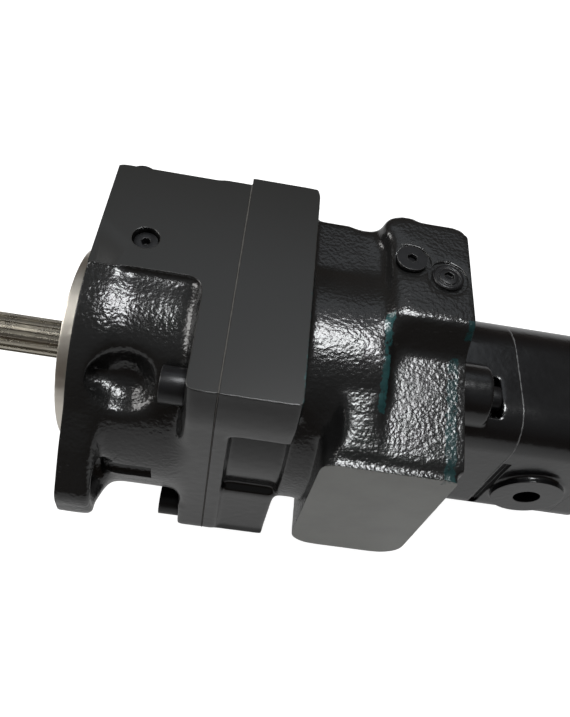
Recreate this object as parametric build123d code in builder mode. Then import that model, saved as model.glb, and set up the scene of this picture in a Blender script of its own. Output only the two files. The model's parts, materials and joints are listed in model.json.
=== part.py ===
"""Flange-mounted axial piston pump with a gear pump on its rear face.

Frame: +X runs along the drive shaft from the mounting face to the rear, +Z is up,
and the origin is on the shaft axis in the mounting face. Millimetres.
"""
import os
from math import atan, atan2, cos, pi, radians, sin, sqrt, tan

from build123d import *

os.makedirs("parts", exist_ok=True)

# --- Mounting flange -----------------------------------------------------------
PILOT_R = 63.5
PILOT_LENGTH = 12.7
FLANGE_THICKNESS = 20.0
FLANGE_R = 90.0
EAR_HOLE_Y = 90.5
EAR_HOLE_R = 8.75
CORNER_HOLE_PCD = 162.0
CORNER_HOLE_R = 7.15

# --- Castings ------------------------------------------------------------------
NECK_R = 87.0
FRONT_CAVITY_R = 70.0
FRONT_CAVITY_X = 10.0
CAST_R = 3.0
SLOPE_R = 6.0
JOINT_X = 84.5
GASKET = 0.5
FRONT_END_X = JOINT_X - GASKET
JOINT_FLANGE_X = 66.0
STRIP_END_X = 129.0
SIDE_Y = -83.0
FAR_Y = 80.0
REAR_FAR_Y = 86.0
TOP_Z = 91.0
BOTTOM_Z = -103.0
BARREL_R = 82.5
REAR_CAVITY_R = 60.0
PORT_FACE_X = 165.0
BLOCK_START_X = 177.0
REAR_X = 227.0
BLOCK_TOP_Z = 89.5
PAD_Y = -90.5
PAD_TOP_Z = 54.0
PAD_BOTTOM_Z = -75.0
PAD_START_X = 146.0
PAD_END_X = 224.5

# --- Bolts that hold the castings ------------------------------------------------
HOUSING_BOLT_PLACES = [(-63.0, 68.0), (-69.0, -83.0), (68.0, 64.0), (68.0, -83.0)]
HOUSING_BOLT_R = 7.0
BOLT_HEAD_R = 10.5
BOLT_HEAD = 14.0
BOLT_END_X = 116.0
SOCKET_KEY = 12.0
DOWEL_R = 4.0
DOWEL_DEPTH = 8.0
DOWEL_PLACES = [(-77.0, -30.0), (75.0, -20.0)]

# --- Plugs in the castings ---------------------------------------------------------
DRAIN_PLACE = (28.0, 20.0)
DRAIN_R = 4.5
FAR_PLUG_PLACE = (15.0, 80.0)
FAR_PLUG_R = 7.0
GALLERY_PLACES = [(189.0, 39.0), (212.0, 29.0)]
GALLERY_R = 7.0
SPOT_FACE = 1.5

# --- Shaft and bearings ----------------------------------------------------------
SPLINE_R = 12.7
SPLINE_ROOT_R = 11.4
SPLINE_TEETH = 15
SHAFT_FRONT_X = -70.0
SEAL_SEAT_R = 16.0
FRONT_SEAT_R = 17.5
SHAFT_R = 20.0
BLOCK_SPLINE_R = 18.0
REAR_SEAT_R = 15.0
COUPLING_SPLINE_R = 11.0
FRONT_BEARING_X = (-1.0, 17.0)
FRONT_BEARING_R = 31.0
REAR_BEARING_X = (169.0, 186.0)
REAR_BEARING_R = 27.5
RING_WALL = 4.5
ROLLER_GAP = 0.05
ROLLER_COUNT = 16

# --- Rotating group ----------------------------------------------------------------
PISTON_COUNT = 9
PISTON_R = 10.0
PISTON_PITCH_R = 40.0
PISTON_CLEARANCE = 0.03
PISTON_NECK_R = 5.0
PISTON_REAR_X = 146.0
BALL_X = 74.0
BALL_R = 7.5
SLIPPER_R = 12.0
SLIPPER_NECK_R = 9.5
OIL_FILM = 0.1
BLOCK_X = (92.0, 160.0)
BLOCK_R = 54.0
RETAINER_R = 50.0
RETAINER_BALL_R = 26.0

# --- Swash plate and its control ------------------------------------------------------
SWASH_FACE_X = 62.0
SWASH_BACK_X = 46.0
SWASH_R = 56.0
SWASH_BORE_R = 27.0
PIVOT_X = 52.0
PIVOT_Z = 57.0
PIVOT_Y = 22.0
PIVOT_BALL_R = 6.0
CONTROL_Z = -74.0
CONTROL_R = 9.0
CONTROL_DOME_R = 12.0
CONTROL_SLEEVE_R = 12.0
CONTROL_X = (62.3, 148.0)
RETURN_SPRING_Y = 50.0
COMPENSATOR_X = 207.0
COMPENSATOR_Z = -62.0
SPOOL_R = 6.0

# --- Ports -------------------------------------------------------------------------------
SUCTION_X = 193.0
SUCTION_Z = 10.0
SUCTION_R = 25.0
SUCTION_FACE_Y = 84.0
SUCTION_BOLTS = (42.9, 77.8)
DELIVERY_X = 196.0
DELIVERY_Y = -43.0
DELIVERY_R = 12.5
DELIVERY_FACE_Z = -90.0
DELIVERY_BOLTS = (26.2, 52.4)
M12_TAP_R = 5.1
M10_TAP_R = 4.25

# --- Gear pump -----------------------------------------------------------------------------
GEAR_MODULE = 3.25
GEAR_TEETH = 12
GEAR_PRESSURE_ANGLE = 25.0
GEAR_BACKLASH = 0.3
GEAR_PITCH_R = GEAR_MODULE * GEAR_TEETH / 2
GEAR_TIP_R = GEAR_PITCH_R + GEAR_MODULE
GEAR_ROOT_R = GEAR_PITCH_R - 1.25 * GEAR_MODULE
GEAR_AXIS_Z = -2 * GEAR_PITCH_R
GEAR_BORE_R = GEAR_TIP_R + 0.08
GEAR_X = (290.0, 312.0)
GEAR_JOURNAL_R = 8.0
COVER_X = (REAR_X, 270.0)
BODY_X = (270.0, 332.0)
END_COVER_X = (332.0, 352.0)
GEAR_CASE_Y = 53.0
GEAR_CASE_TOP_Z = 51.0
GEAR_CASE_BOTTOM_Z = -70.0
GEAR_CASE_NEAR_R = 25.0
GEAR_CASE_FAR_R = 42.0
EAR_PLACES = [(-26.0, 46.4), (26.0, -46.4)]
EAR_R = 20.0
EAR_END_X = 246.0
EAR_POCKET = 11.0
GEAR_PORT_X = 301.0
GEAR_PORT_Z = GEAR_AXIS_Z / 2
GEAR_PORT_R = 9.0
GEAR_PORT_BOSS_R = 24.0
GEAR_PORT_DEPTH = 28.0
GEAR_PORT_FACE_Y = 58.0
GEAR_BOLT_PLACES = [(-39.0, 33.0), (36.0, 27.0), (-40.0, -56.0), (36.0, -48.0)]
M10_R = 5.0
M10_HEAD_R = 8.0
M10_HEAD = 10.0
GEAR_BOLT_REACH = 11.0


def bar(x_start, x_end, radius, y=0.0, z=0.0, mode=Mode.ADD):
    """Round bar along X, centred on (y, z), added to or cut from the part being built."""
    with BuildSketch(Plane.YZ.offset(x_start)) as section:
        with Locations((y, z)):
            Circle(radius)
    extrude(section.sketch, amount=x_end - x_start, mode=mode)


def block(x_span, y_span, z_span, mode=Mode.ADD):
    """Rectangular block between two corners."""
    with BuildSketch(Plane.YZ.offset(x_span[0])) as section:
        with Locations(((y_span[0] + y_span[1]) / 2, (z_span[0] + z_span[1]) / 2)):
            Rectangle(y_span[1] - y_span[0], z_span[1] - z_span[0])
    extrude(section.sketch, amount=x_span[1] - x_span[0], mode=mode)


def bars(x_start, x_end, radius, places, mode=Mode.ADD):
    """Round bars along X, one at each (y, z) place."""
    for y, z in places:
        bar(x_start, x_end, radius, y, z, mode)


def upright(x, y, z_start, z_end, radius, mode=Mode.ADD):
    """Round bar along Z."""
    with BuildSketch(Plane.XY.offset(z_start)) as section:
        with Locations((x, y)):
            Circle(radius)
    extrude(section.sketch, amount=z_end - z_start, mode=mode)


def crossbar(x, z, y_start, y_end, radius, mode=Mode.ADD):
    """Round bar along Y from y_start to the larger y_end."""
    with BuildSketch(Plane.XZ.offset(-y_end)) as section:
        with Locations((x, z)):
            Circle(radius)
    extrude(section.sketch, amount=y_end - y_start, mode=mode)


def turned(points, y=0.0, z=0.0, mode=Mode.ADD):
    """Solid of revolution about the line along X at (y, z), from (x, radius) points."""
    plane = Plane(origin=(0, y, z), x_dir=(1, 0, 0), z_dir=(0, -1, 0))
    with BuildSketch(plane) as section:
        with BuildLine():
            Polyline(*points, close=True)
        make_face()
    axis = Axis((0, y, z), (1, 0, 0))
    revolve(section.sketch, axis=axis, mode=mode)


def ball(x, y, z, radius, mode=Mode.ADD):
    """Sphere about a point, turned about the line along X."""
    plane = Plane(origin=(x, y, z), x_dir=(1, 0, 0), z_dir=(0, -1, 0))
    with BuildSketch(plane) as section:
        with BuildLine():
            Line((-radius, 0), (radius, 0))
            ThreePointArc((radius, 0), (0, radius), (-radius, 0))
        make_face()
    revolve(section.sketch, axis=Axis((x, y, z), (1, 0, 0)), mode=mode)


def round_nosed(centre_x, nose_r, points, y, z):
    """Turned part with a spherical front about centre_x that runs on through (x, radius) points."""
    end_angle = atan2(points[0][1], points[0][0] - centre_x)
    middle_angle = (pi + end_angle) / 2
    nose_tip = (centre_x - nose_r, 0)
    nose_middle = (centre_x + nose_r * cos(middle_angle), nose_r * sin(middle_angle))
    plane = Plane(origin=(0, y, z), x_dir=(1, 0, 0), z_dir=(0, -1, 0))
    with BuildSketch(plane) as section:
        with BuildLine():
            ThreePointArc(nose_tip, nose_middle, points[0])
            Polyline(*points, nose_tip)
        make_face()
    revolve(section.sketch, axis=Axis((0, y, z), (1, 0, 0)))


def hex_hole(x_start, x_end, key, y, z):
    """Hexagon recess along X, key across flats."""
    with BuildSketch(Plane.YZ.offset(x_start)) as section:
        with Locations((y, z)):
            RegularPolygon(key / 2, 6, major_radius=False)
    extrude(section.sketch, amount=x_end - x_start, mode=Mode.SUBTRACT)


def coil(x_start, length, mean_r, wire_r, turns, y=0.0, z=0.0):
    """Round-wire compression spring along X."""
    pitch = length / turns
    path = Helix(pitch, length, mean_r, center=(x_start, y, z), direction=(1, 0, 0))
    start_plane = Plane(origin=path @ 0, z_dir=path % 0)
    with BuildSketch(start_plane) as wire:
        Circle(wire_r)
    sweep(wire.sketch, path=path, is_frenet=True)


def finish(part_builder, node):
    """Name the finished piece after its node and write it."""
    part_builder.part.label = node
    export_step(part_builder.part, f"parts/{node}.step")


def joint_flange_outline(far_y):
    """Outer edge of the bolted joint, out to far_y on the far side."""
    near_top = (SIDE_Y + 6, TOP_Z)
    near_low = (SIDE_Y, 60.0)
    with BuildLine() as outline:
        Line(near_top, (far_y, TOP_Z))
        Line((far_y, TOP_Z), (far_y, BOTTOM_Z + 12))
        ThreePointArc((far_y, BOTTOM_Z + 12), (far_y - 4, BOTTOM_Z + 4), (far_y - 12, BOTTOM_Z))
        Line((far_y - 12, BOTTOM_Z), (SIDE_Y + 12, BOTTOM_Z))
        ThreePointArc((SIDE_Y + 12, BOTTOM_Z), (SIDE_Y + 4, BOTTOM_Z + 4), (SIDE_Y, BOTTOM_Z + 12))
        Line((SIDE_Y, BOTTOM_Z + 12), near_low)
        ThreePointArc(near_low, (SIDE_Y + 1, 77.0), near_top)
    make_face(outline.line.edges())


def spline_section(tip_r, root_r, teeth):
    """Straight-sided spline section."""
    Circle(tip_r)
    pitch_width = 2 * pi * tip_r / teeth
    with PolarLocations(tip_r, teeth):
        Rectangle(2 * (tip_r - root_r), pitch_width * 0.5, mode=Mode.SUBTRACT)


def gear_outline(phase_deg, axis_z):
    """Involute outline of a whole gear about (0, axis_z), its first tooth centred on phase_deg."""
    base_r = GEAR_PITCH_R * cos(radians(GEAR_PRESSURE_ANGLE))
    involute_angle = tan(radians(GEAR_PRESSURE_ANGLE)) - radians(GEAR_PRESSURE_ANGLE)
    half_pitch = (pi * GEAR_MODULE / 2 - GEAR_BACKLASH) / 2 / GEAR_PITCH_R
    flank = []
    steps = 6
    for step in range(steps + 1):
        radius = base_r + (GEAR_TIP_R - base_r) * step / steps
        roll = sqrt(max(radius * radius - base_r * base_r, 0.0)) / base_r
        polar = roll - atan(roll)
        flank.append((radius, half_pitch + involute_angle - polar))
    points = []
    for tooth in range(GEAR_TEETH):
        centre = radians(phase_deg + 360.0 * tooth / GEAR_TEETH)
        root_half = flank[0][1]
        side = [(GEAR_ROOT_R, -root_half)] + [(radius, -angle) for radius, angle in flank]
        side += [(radius, angle) for radius, angle in reversed(flank)] + [(GEAR_ROOT_R, root_half)]
        points += [(radius * cos(centre + a), axis_z + radius * sin(centre + a)) for radius, a in side]
    return points


# --- Front casting: pilot, mounting flange, neck and the bolted joint flange --------
CORNER_HOLE_OFFSET = CORNER_HOLE_PCD / 2 * cos(radians(45))
CORNER_HOLES = [(a * CORNER_HOLE_OFFSET, b * CORNER_HOLE_OFFSET) for a in (-1, 1) for b in (-1, 1)]
EAR_HALF = [(-60, 62), (-94, 33), (-114, 11), (-114, -11), (-94, -33), (-60, -62)]
SEAL_BORE_R = 25.0
SCOOP_X = 31.0
SCOOP_R = 19.0
SCOOP_CENTRE_R = 91.0
SCOOP_DEPTH = 8.0
SCOOP_END_X = 40.0
SEAL_X = (-10.5, -3.5)
RING_X = (-12.2, -10.7)

with BuildPart() as front_housing:
    with BuildSketch(Plane.YZ):
        Circle(FLANGE_R)
        for side in (1, -1):
            with BuildLine():
                Polyline(*[(side * y, z) for y, z in EAR_HALF], close=True)
            make_face()
    extrude(amount=FLANGE_THICKNESS)
    ear_tips = front_housing.edges().filter_by(Axis.X).filter_by(lambda e: abs(e.center().Y) > EAR_HOLE_Y)
    fillet(ear_tips, 12)
    bar(FLANGE_THICKNESS, JOINT_FLANGE_X, NECK_R)
    with BuildSketch(Plane.YZ.offset(JOINT_FLANGE_X)):
        joint_flange_outline(FAR_Y)
    extrude(amount=FRONT_END_X - JOINT_FLANGE_X)
    block((0, FRONT_END_X), (-3, FAR_Y - 1), (40, TOP_Z))
    step_corner = front_housing.edges().filter_by(Axis.Z).filter_by(
        lambda e: abs(e.center().X - JOINT_FLANGE_X) < 0.1 and abs(e.center().Y + 3) < 0.1
    )
    fillet(step_corner, 9)
    block_nose = front_housing.edges().filter_by(Axis.Z).filter_by(
        lambda e: abs(e.center().X) < 0.1 and abs(e.center().Y - FAR_Y + 1) < 0.1
    )
    fillet(block_nose, 3)
    # Cast boss under the neck around the stroke control
    block((4, JOINT_FLANGE_X), (-26, 26), (BOTTOM_Z, -60))
    bar(-PILOT_LENGTH, 0, PILOT_R)
    # Swash chamber, its pocket for the control lug, bearing boss and pivot seats
    bar(FRONT_CAVITY_X, FRONT_END_X, FRONT_CAVITY_R, mode=Mode.SUBTRACT)
    block((FRONT_CAVITY_X, FRONT_END_X), (-14, 14), (-90, -60), mode=Mode.SUBTRACT)
    bar(FRONT_CAVITY_X, FRONT_BEARING_X[1] + 1, 40)
    for side in (1, -1):
        block((FRONT_CAVITY_X, PIVOT_X - 2.5), (side * PIVOT_Y - 9, side * PIVOT_Y + 9), (49, 68.5))
        ball(PIVOT_X, side * PIVOT_Y, PIVOT_Z, PIVOT_BALL_R + 0.05, Mode.SUBTRACT)
    bar(FRONT_BEARING_X[0], FRONT_BEARING_X[1] + 1, FRONT_BEARING_R, mode=Mode.SUBTRACT)
    bar(-PILOT_LENGTH, SEAL_X[1], SEAL_BORE_R, mode=Mode.SUBTRACT)
    bar(RING_X[0], RING_X[1], SEAL_BORE_R + 1.5, mode=Mode.SUBTRACT)
    bar(-PILOT_LENGTH, FRONT_BEARING_X[1], 22, mode=Mode.SUBTRACT)
    # Fixing holes
    bars(0, FLANGE_THICKNESS, EAR_HOLE_R, [(-EAR_HOLE_Y, 0), (EAR_HOLE_Y, 0)], Mode.SUBTRACT)
    spot_faces = [(-EAR_HOLE_Y - 2, 0), (EAR_HOLE_Y + 2, 0)]
    bars(FLANGE_THICKNESS - 4, FLANGE_THICKNESS, 16, spot_faces, Mode.SUBTRACT)
    bars(0, FLANGE_THICKNESS, CORNER_HOLE_R, CORNER_HOLES, Mode.SUBTRACT)
    bars(FLANGE_THICKNESS - SCOOP_DEPTH, SCOOP_END_X, CORNER_HOLE_R + 0.6, CORNER_HOLES, Mode.SUBTRACT)
    for hole_y, hole_z in CORNER_HOLES:
        scoop_ratio = 2 * SCOOP_CENTRE_R / CORNER_HOLE_PCD
        ball(SCOOP_X, hole_y * scoop_ratio, hole_z * scoop_ratio, SCOOP_R, Mode.SUBTRACT)
    bars(JOINT_FLANGE_X, FRONT_END_X, HOUSING_BOLT_R + 0.5, HOUSING_BOLT_PLACES, Mode.SUBTRACT)
    head_pocket_x = JOINT_FLANGE_X - BOLT_HEAD - 1.5
    bars(head_pocket_x, JOINT_FLANGE_X, BOLT_HEAD_R + 1.5, HOUSING_BOLT_PLACES, Mode.SUBTRACT)
    # Recessed drain port on the machined top and plug port on the far side
    upright(*DRAIN_PLACE, 66, TOP_Z, DRAIN_R, Mode.SUBTRACT)
    upright(*DRAIN_PLACE, TOP_Z - 9, TOP_Z, 8.2, Mode.SUBTRACT)
    crossbar(*FAR_PLUG_PLACE, FAR_Y - 14, FAR_Y, FAR_PLUG_R, Mode.SUBTRACT)
    # Shallow cast recess on the near side of the neck
    with BuildSketch(Plane.XZ.offset(NECK_R + 2)):
        with Locations((44, -18)):
            SlotOverall(30, 13)
    extrude(amount=-4.6, mode=Mode.SUBTRACT)
    bars(JOINT_X - DOWEL_DEPTH, FRONT_END_X, DOWEL_R, DOWEL_PLACES, Mode.SUBTRACT)
    # Cast radii along the machined block's near edge and around the backs of the ears
    cast_edges = front_housing.edges().filter_by(Axis.X).filter_by(
        lambda e: abs(e.center().Y + 3) < 0.2 and abs(e.center().Z - NECK_R) < 2
    )
    cast_edges += front_housing.edges().filter_by(GeomType.LINE).filter_by(
        lambda e: abs(e.center().X - FLANGE_THICKNESS) < 0.1 and abs(e.center().Y) > 85
    )
    fillet(cast_edges, CAST_R)
finish(front_housing, "front_housing")


# --- Rear casting: joint flange, barrel, port block, pads and passages ---------------
with BuildPart() as rear_housing:
    with BuildSketch(Plane.YZ.offset(JOINT_X)):
        joint_flange_outline(REAR_FAR_Y)
    extrude(amount=STRIP_END_X - JOINT_X)
    strip_corner = rear_housing.edges().filter_by(Axis.Z).filter_by(
        lambda e: abs(e.center().X - STRIP_END_X) < 0.1 and abs(e.center().Y - REAR_FAR_Y) < 0.1
    )
    fillet(strip_corner, 6)
    # Hollow cast side behind the joint rib
    block((94, STRIP_END_X), (SIDE_Y - 1, -30), (-28, 54), mode=Mode.SUBTRACT)
    block((94, STRIP_END_X), (SIDE_Y - 1, SIDE_Y + 4), (BOTTOM_Z + 8, -28), mode=Mode.SUBTRACT)
    block((94, STRIP_END_X), (-52, 52), (BOTTOM_Z - 1, -90), mode=Mode.SUBTRACT)
    bar(JOINT_X, 180, BARREL_R - 6)
    bar(STRIP_END_X, 180, BARREL_R)
    block((STRIP_END_X, BLOCK_START_X), (0, 75), (0, 76))
    # Port block with its sloping near side
    with BuildSketch(Plane.YZ.offset(BLOCK_START_X)):
        with BuildLine():
            Polyline(
                (75, BLOCK_TOP_Z), (-5, BLOCK_TOP_Z), (-12, 78), (-18, 70), (-50, 63), (-84, PAD_TOP_Z + 2),
                (-84, -70), (-40, -84), (60, -84), (75, -70), close=True,
            )
        make_face()
    extrude(amount=REAR_X - BLOCK_START_X)
    block_corners = rear_housing.edges().filter_by(Axis.Z).filter_by(
        lambda e: abs(e.center().X - REAR_X) < 0.1 and abs(e.center().Y - 75) < 0.1
    )
    fillet(block_corners, 8)
    # Blank side pad reaching forward over the barrel
    pad_corner = 18
    with BuildSketch(Plane.XZ.offset(40)) as pad_section:
        with Locations(((PAD_START_X + PAD_END_X) / 2, (PAD_TOP_Z + PAD_BOTTOM_Z) / 2)):
            Rectangle(PAD_END_X - PAD_START_X, PAD_TOP_Z - PAD_BOTTOM_Z)
        fillet(pad_section.vertices().group_by(Axis.Y)[0], pad_corner)
        fillet(pad_section.vertices().sort_by(Axis.Y)[-2:].sort_by(Axis.X)[0], 8)
    extrude(amount=-PAD_Y - 40)
    with BuildSketch(Plane.YZ.offset(PAD_START_X + 8)):
        with BuildLine():
            Polyline((-46, 68), (-84, PAD_TOP_Z + 2), (-84, 30), (-30, 0), close=True)
        make_face()
    extrude(amount=BLOCK_START_X - PAD_START_X - 8)
    # Port pads and the cast boss around the control sleeve
    block((158, REAR_X - 2), (40, SUCTION_FACE_Y), (-46, 64))
    block((164, REAR_X - 2), (-74, -12), (DELIVERY_FACE_Z, -50))
    block((JOINT_X, 156), (-23, 23), (-94, -50))
    upright(184, 67, 40, BLOCK_TOP_Z, 13)
    # Cylinder chamber and the bores in the port wall
    bar(JOINT_X, PORT_FACE_X, REAR_CAVITY_R, mode=Mode.SUBTRACT)
    bar(PORT_FACE_X, REAR_BEARING_X[1], REAR_BEARING_R, mode=Mode.SUBTRACT)
    bar(PORT_FACE_X, REAR_X, 24, mode=Mode.SUBTRACT)
    bar(JOINT_X, 150, CONTROL_SLEEVE_R, 0, CONTROL_Z, Mode.SUBTRACT)
    # Suction passage on the far side, delivery passage on the near side
    crossbar(SUCTION_X, SUCTION_Z, 34, SUCTION_FACE_Y, SUCTION_R, Mode.SUBTRACT)
    bars(PORT_FACE_X, SUCTION_X, 9, [(40, -12), (42, 0), (40, 12)], Mode.SUBTRACT)
    upright(DELIVERY_X, DELIVERY_Y, DELIVERY_FACE_Z, 8, DELIVERY_R, Mode.SUBTRACT)
    bars(PORT_FACE_X, DELIVERY_X, 7, [(-40, -14), (-42, 0), (-40, 10)], Mode.SUBTRACT)
    for x_side in (-0.5, 0.5):
        for z_side in (-0.5, 0.5):
            crossbar(
                SUCTION_X + x_side * SUCTION_BOLTS[0], SUCTION_Z + z_side * SUCTION_BOLTS[1],
                SUCTION_FACE_Y - 22, SUCTION_FACE_Y, M12_TAP_R, Mode.SUBTRACT,
            )
        for y_side in (-0.5, 0.5):
            upright(
                DELIVERY_X + x_side * DELIVERY_BOLTS[0], DELIVERY_Y + y_side * DELIVERY_BOLTS[1],
                DELIVERY_FACE_Z, DELIVERY_FACE_Z + 20, M10_TAP_R, Mode.SUBTRACT,
            )
    # Compensator bore with its sensing hole
    crossbar(COMPENSATOR_X, COMPENSATOR_Z, -8, 76, SPOOL_R + 0.03, Mode.SUBTRACT)
    crossbar(COMPENSATOR_X, COMPENSATOR_Z, 30, 76, 9, Mode.SUBTRACT)
    crossbar(COMPENSATOR_X, COMPENSATOR_Z, -40, -8, 2.5, Mode.SUBTRACT)
    # Two plugged galleries on top, each with a spot face
    for plug_x, plug_y in GALLERY_PLACES:
        upright(plug_x, plug_y, BLOCK_TOP_Z - SPOT_FACE, BLOCK_TOP_Z, 12.8, Mode.SUBTRACT)
        upright(plug_x, plug_y, BLOCK_TOP_Z - 18, BLOCK_TOP_Z, GALLERY_R, Mode.SUBTRACT)
    bars(JOINT_X, BOLT_END_X + 3, HOUSING_BOLT_R, HOUSING_BOLT_PLACES, Mode.SUBTRACT)
    bars(JOINT_X, JOINT_X + DOWEL_DEPTH, DOWEL_R, DOWEL_PLACES, Mode.SUBTRACT)
    bars(PORT_FACE_X, PORT_FACE_X + 4, 2, [(0, 47)], Mode.SUBTRACT)
    bars(REAR_X - 24, REAR_X, M10_R, EAR_PLACES, Mode.SUBTRACT)
    # Cast radii at the head and the foot of the port block's slope
    slope_edges = rear_housing.edges().filter_by(Axis.X).filter_by(
        lambda e: (e.center().Y, e.center().Z) in ((-18, 70), (-5, BLOCK_TOP_Z))
    )
    fillet(slope_edges, SLOPE_R)
finish(rear_housing, "rear_housing")


# --- Fasteners and fittings of the castings -----------------------------------------
with BuildPart() as housing_bolts:
    for bolt_y, bolt_z in HOUSING_BOLT_PLACES:
        bar(JOINT_FLANGE_X - BOLT_HEAD, JOINT_FLANGE_X, BOLT_HEAD_R, bolt_y, bolt_z)
        bar(JOINT_FLANGE_X, BOLT_END_X, HOUSING_BOLT_R, bolt_y, bolt_z)
        hex_hole(JOINT_FLANGE_X - BOLT_HEAD, JOINT_FLANGE_X - BOLT_HEAD / 2, SOCKET_KEY, bolt_y, bolt_z)
finish(housing_bolts, "housing_bolts")

with BuildPart() as dowel_pins:
    bars(JOINT_X - DOWEL_DEPTH + 0.5, JOINT_X + DOWEL_DEPTH - 0.5, DOWEL_R, DOWEL_PLACES)
    bars(PORT_FACE_X - 3, PORT_FACE_X + 3.5, 2, [(0, 47)])
finish(dowel_pins, "dowel_pins")

with BuildPart() as housing_gasket:
    with BuildSketch(Plane.YZ.offset(FRONT_END_X)):
        joint_flange_outline(FAR_Y)
    extrude(amount=JOINT_X - FRONT_END_X)
    bar(FRONT_END_X, JOINT_X, FRONT_CAVITY_R, mode=Mode.SUBTRACT)
    block((FRONT_END_X, JOINT_X), (-14, 14), (-90, -60), mode=Mode.SUBTRACT)
    bars(FRONT_END_X, JOINT_X, HOUSING_BOLT_R + 0.5, HOUSING_BOLT_PLACES, Mode.SUBTRACT)
    bars(FRONT_END_X, JOINT_X, DOWEL_R, DOWEL_PLACES, Mode.SUBTRACT)
finish(housing_gasket, "housing_gasket")

with BuildPart() as drain_plug:
    upright(*DRAIN_PLACE, 68, TOP_Z - 9, DRAIN_R)
    upright(*DRAIN_PLACE, TOP_Z - 9, TOP_Z - 3, 7.2)
    with BuildSketch(Plane.XY.offset(TOP_Z - 8)) as drain_key:
        with Locations(DRAIN_PLACE):
            RegularPolygon(2.5, 6, major_radius=False)
    extrude(drain_key.sketch, amount=5, mode=Mode.SUBTRACT)
finish(drain_plug, "drain_plug")

with BuildPart() as far_side_plug:
    crossbar(*FAR_PLUG_PLACE, FAR_Y - 13, FAR_Y - 1, FAR_PLUG_R)
    crossbar(*FAR_PLUG_PLACE, FAR_Y - 1, FAR_Y + 2, 10)
finish(far_side_plug, "far_side_plug")

with BuildPart() as gallery_plugs:
    for plug_x, plug_y in GALLERY_PLACES:
        upright(plug_x, plug_y, BLOCK_TOP_Z - 16, BLOCK_TOP_Z - SPOT_FACE, GALLERY_R)
        upright(plug_x, plug_y, BLOCK_TOP_Z - SPOT_FACE, BLOCK_TOP_Z + 1.5, 9.8)
        with BuildSketch(Plane.XY.offset(BLOCK_TOP_Z - 5)) as plug_key:
            with Locations((plug_x, plug_y)):
                RegularPolygon(4, 6, major_radius=False)
        extrude(plug_key.sketch, amount=8, mode=Mode.SUBTRACT)
finish(gallery_plugs, "gallery_plugs")

with BuildPart() as shaft_seal:
    turned([
        (SEAL_X[0], SEAL_BORE_R), (SEAL_X[1], SEAL_BORE_R), (SEAL_X[1], 23.4), (SEAL_X[0] + 1.6, 23.4),
        (SEAL_X[0] + 1.6, 18.5), (SEAL_X[1] - 1, SEAL_SEAT_R + 1.2), (SEAL_X[1] - 1.6, SEAL_SEAT_R + 0.02),
        (SEAL_X[1] - 2.6, SEAL_SEAT_R + 0.6), (SEAL_X[0], 17.5),
    ])
finish(shaft_seal, "shaft_seal")

with BuildPart() as seal_snap_ring:
    turned([(RING_X[0], 21), (RING_X[1], 21), (RING_X[1], SEAL_BORE_R + 1.4), (RING_X[0], SEAL_BORE_R + 1.4)])
    block((RING_X[0] - 1, RING_X[1] + 1), (-5, 5), (-28, -18), mode=Mode.SUBTRACT)
finish(seal_snap_ring, "seal_snap_ring")


# --- Roller bearings ---------------------------------------------------------------------
def bearing_ring(x_span, outer_r, inner_r):
    """Plain bearing ring."""
    turned([(x_span[0], inner_r), (x_span[1], inner_r), (x_span[1], outer_r), (x_span[0], outer_r)])


def bearing_rollers(x_span, cup_r, cone_r):
    """Rollers standing between a cone and a cup, clear of both."""
    roller_r = (cup_r - cone_r) / 2 - ROLLER_GAP
    pitch_r = (cup_r + cone_r) / 2
    for roller in range(ROLLER_COUNT):
        angle = radians(360 * roller / ROLLER_COUNT)
        bar(x_span[0] + 2, x_span[1] - 2, roller_r, pitch_r * cos(angle), pitch_r * sin(angle))


FRONT_CUP_R = FRONT_BEARING_R - RING_WALL
FRONT_CONE_R = FRONT_SEAT_R + RING_WALL
REAR_CUP_R = REAR_BEARING_R - 3.5
REAR_CONE_R = REAR_SEAT_R + 3.5

with BuildPart() as front_bearing_cup:
    bearing_ring(FRONT_BEARING_X, FRONT_BEARING_R, FRONT_CUP_R)
finish(front_bearing_cup, "front_bearing_cup")

with BuildPart() as front_bearing_cone:
    bearing_ring(FRONT_BEARING_X, FRONT_CONE_R, FRONT_SEAT_R)
finish(front_bearing_cone, "front_bearing_cone")

with BuildPart() as front_bearing_rollers:
    bearing_rollers(FRONT_BEARING_X, FRONT_CUP_R, FRONT_CONE_R)
finish(front_bearing_rollers, "front_bearing_rollers")

with BuildPart() as rear_bearing_cup:
    bearing_ring(REAR_BEARING_X, REAR_BEARING_R, REAR_CUP_R)
finish(rear_bearing_cup, "rear_bearing_cup")

with BuildPart() as rear_bearing_cone:
    bearing_ring(REAR_BEARING_X, REAR_CONE_R, REAR_SEAT_R)
finish(rear_bearing_cone, "rear_bearing_cone")

with BuildPart() as rear_bearing_rollers:
    bearing_rollers(REAR_BEARING_X, REAR_CUP_R, REAR_CONE_R)
finish(rear_bearing_rollers, "rear_bearing_rollers")


# --- Drive shaft ----------------------------------------------------------------------------
SPLINE_END_X = -16.0
COUPLING_X = (196.0, 242.0)

with BuildPart() as drive_shaft:
    with BuildSketch(Plane.YZ.offset(SHAFT_FRONT_X)):
        spline_section(SPLINE_R, SPLINE_ROOT_R, SPLINE_TEETH)
    extrude(amount=SPLINE_END_X - SHAFT_FRONT_X)
    chamfer(drive_shaft.faces().sort_by(Axis.X)[0].edges(), 0.8)
    bar(SPLINE_END_X, FRONT_BEARING_X[0], SEAL_SEAT_R)
    bar(FRONT_BEARING_X[0], FRONT_BEARING_X[1], FRONT_SEAT_R)
    bar(FRONT_BEARING_X[1], 66, SHAFT_R)
    bar(66, 152, BLOCK_SPLINE_R)
    bar(152, REAR_BEARING_X[1] + 2, REAR_SEAT_R)
    bar(REAR_BEARING_X[1] + 2, 218, COUPLING_SPLINE_R)
finish(drive_shaft, "drive_shaft")

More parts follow.
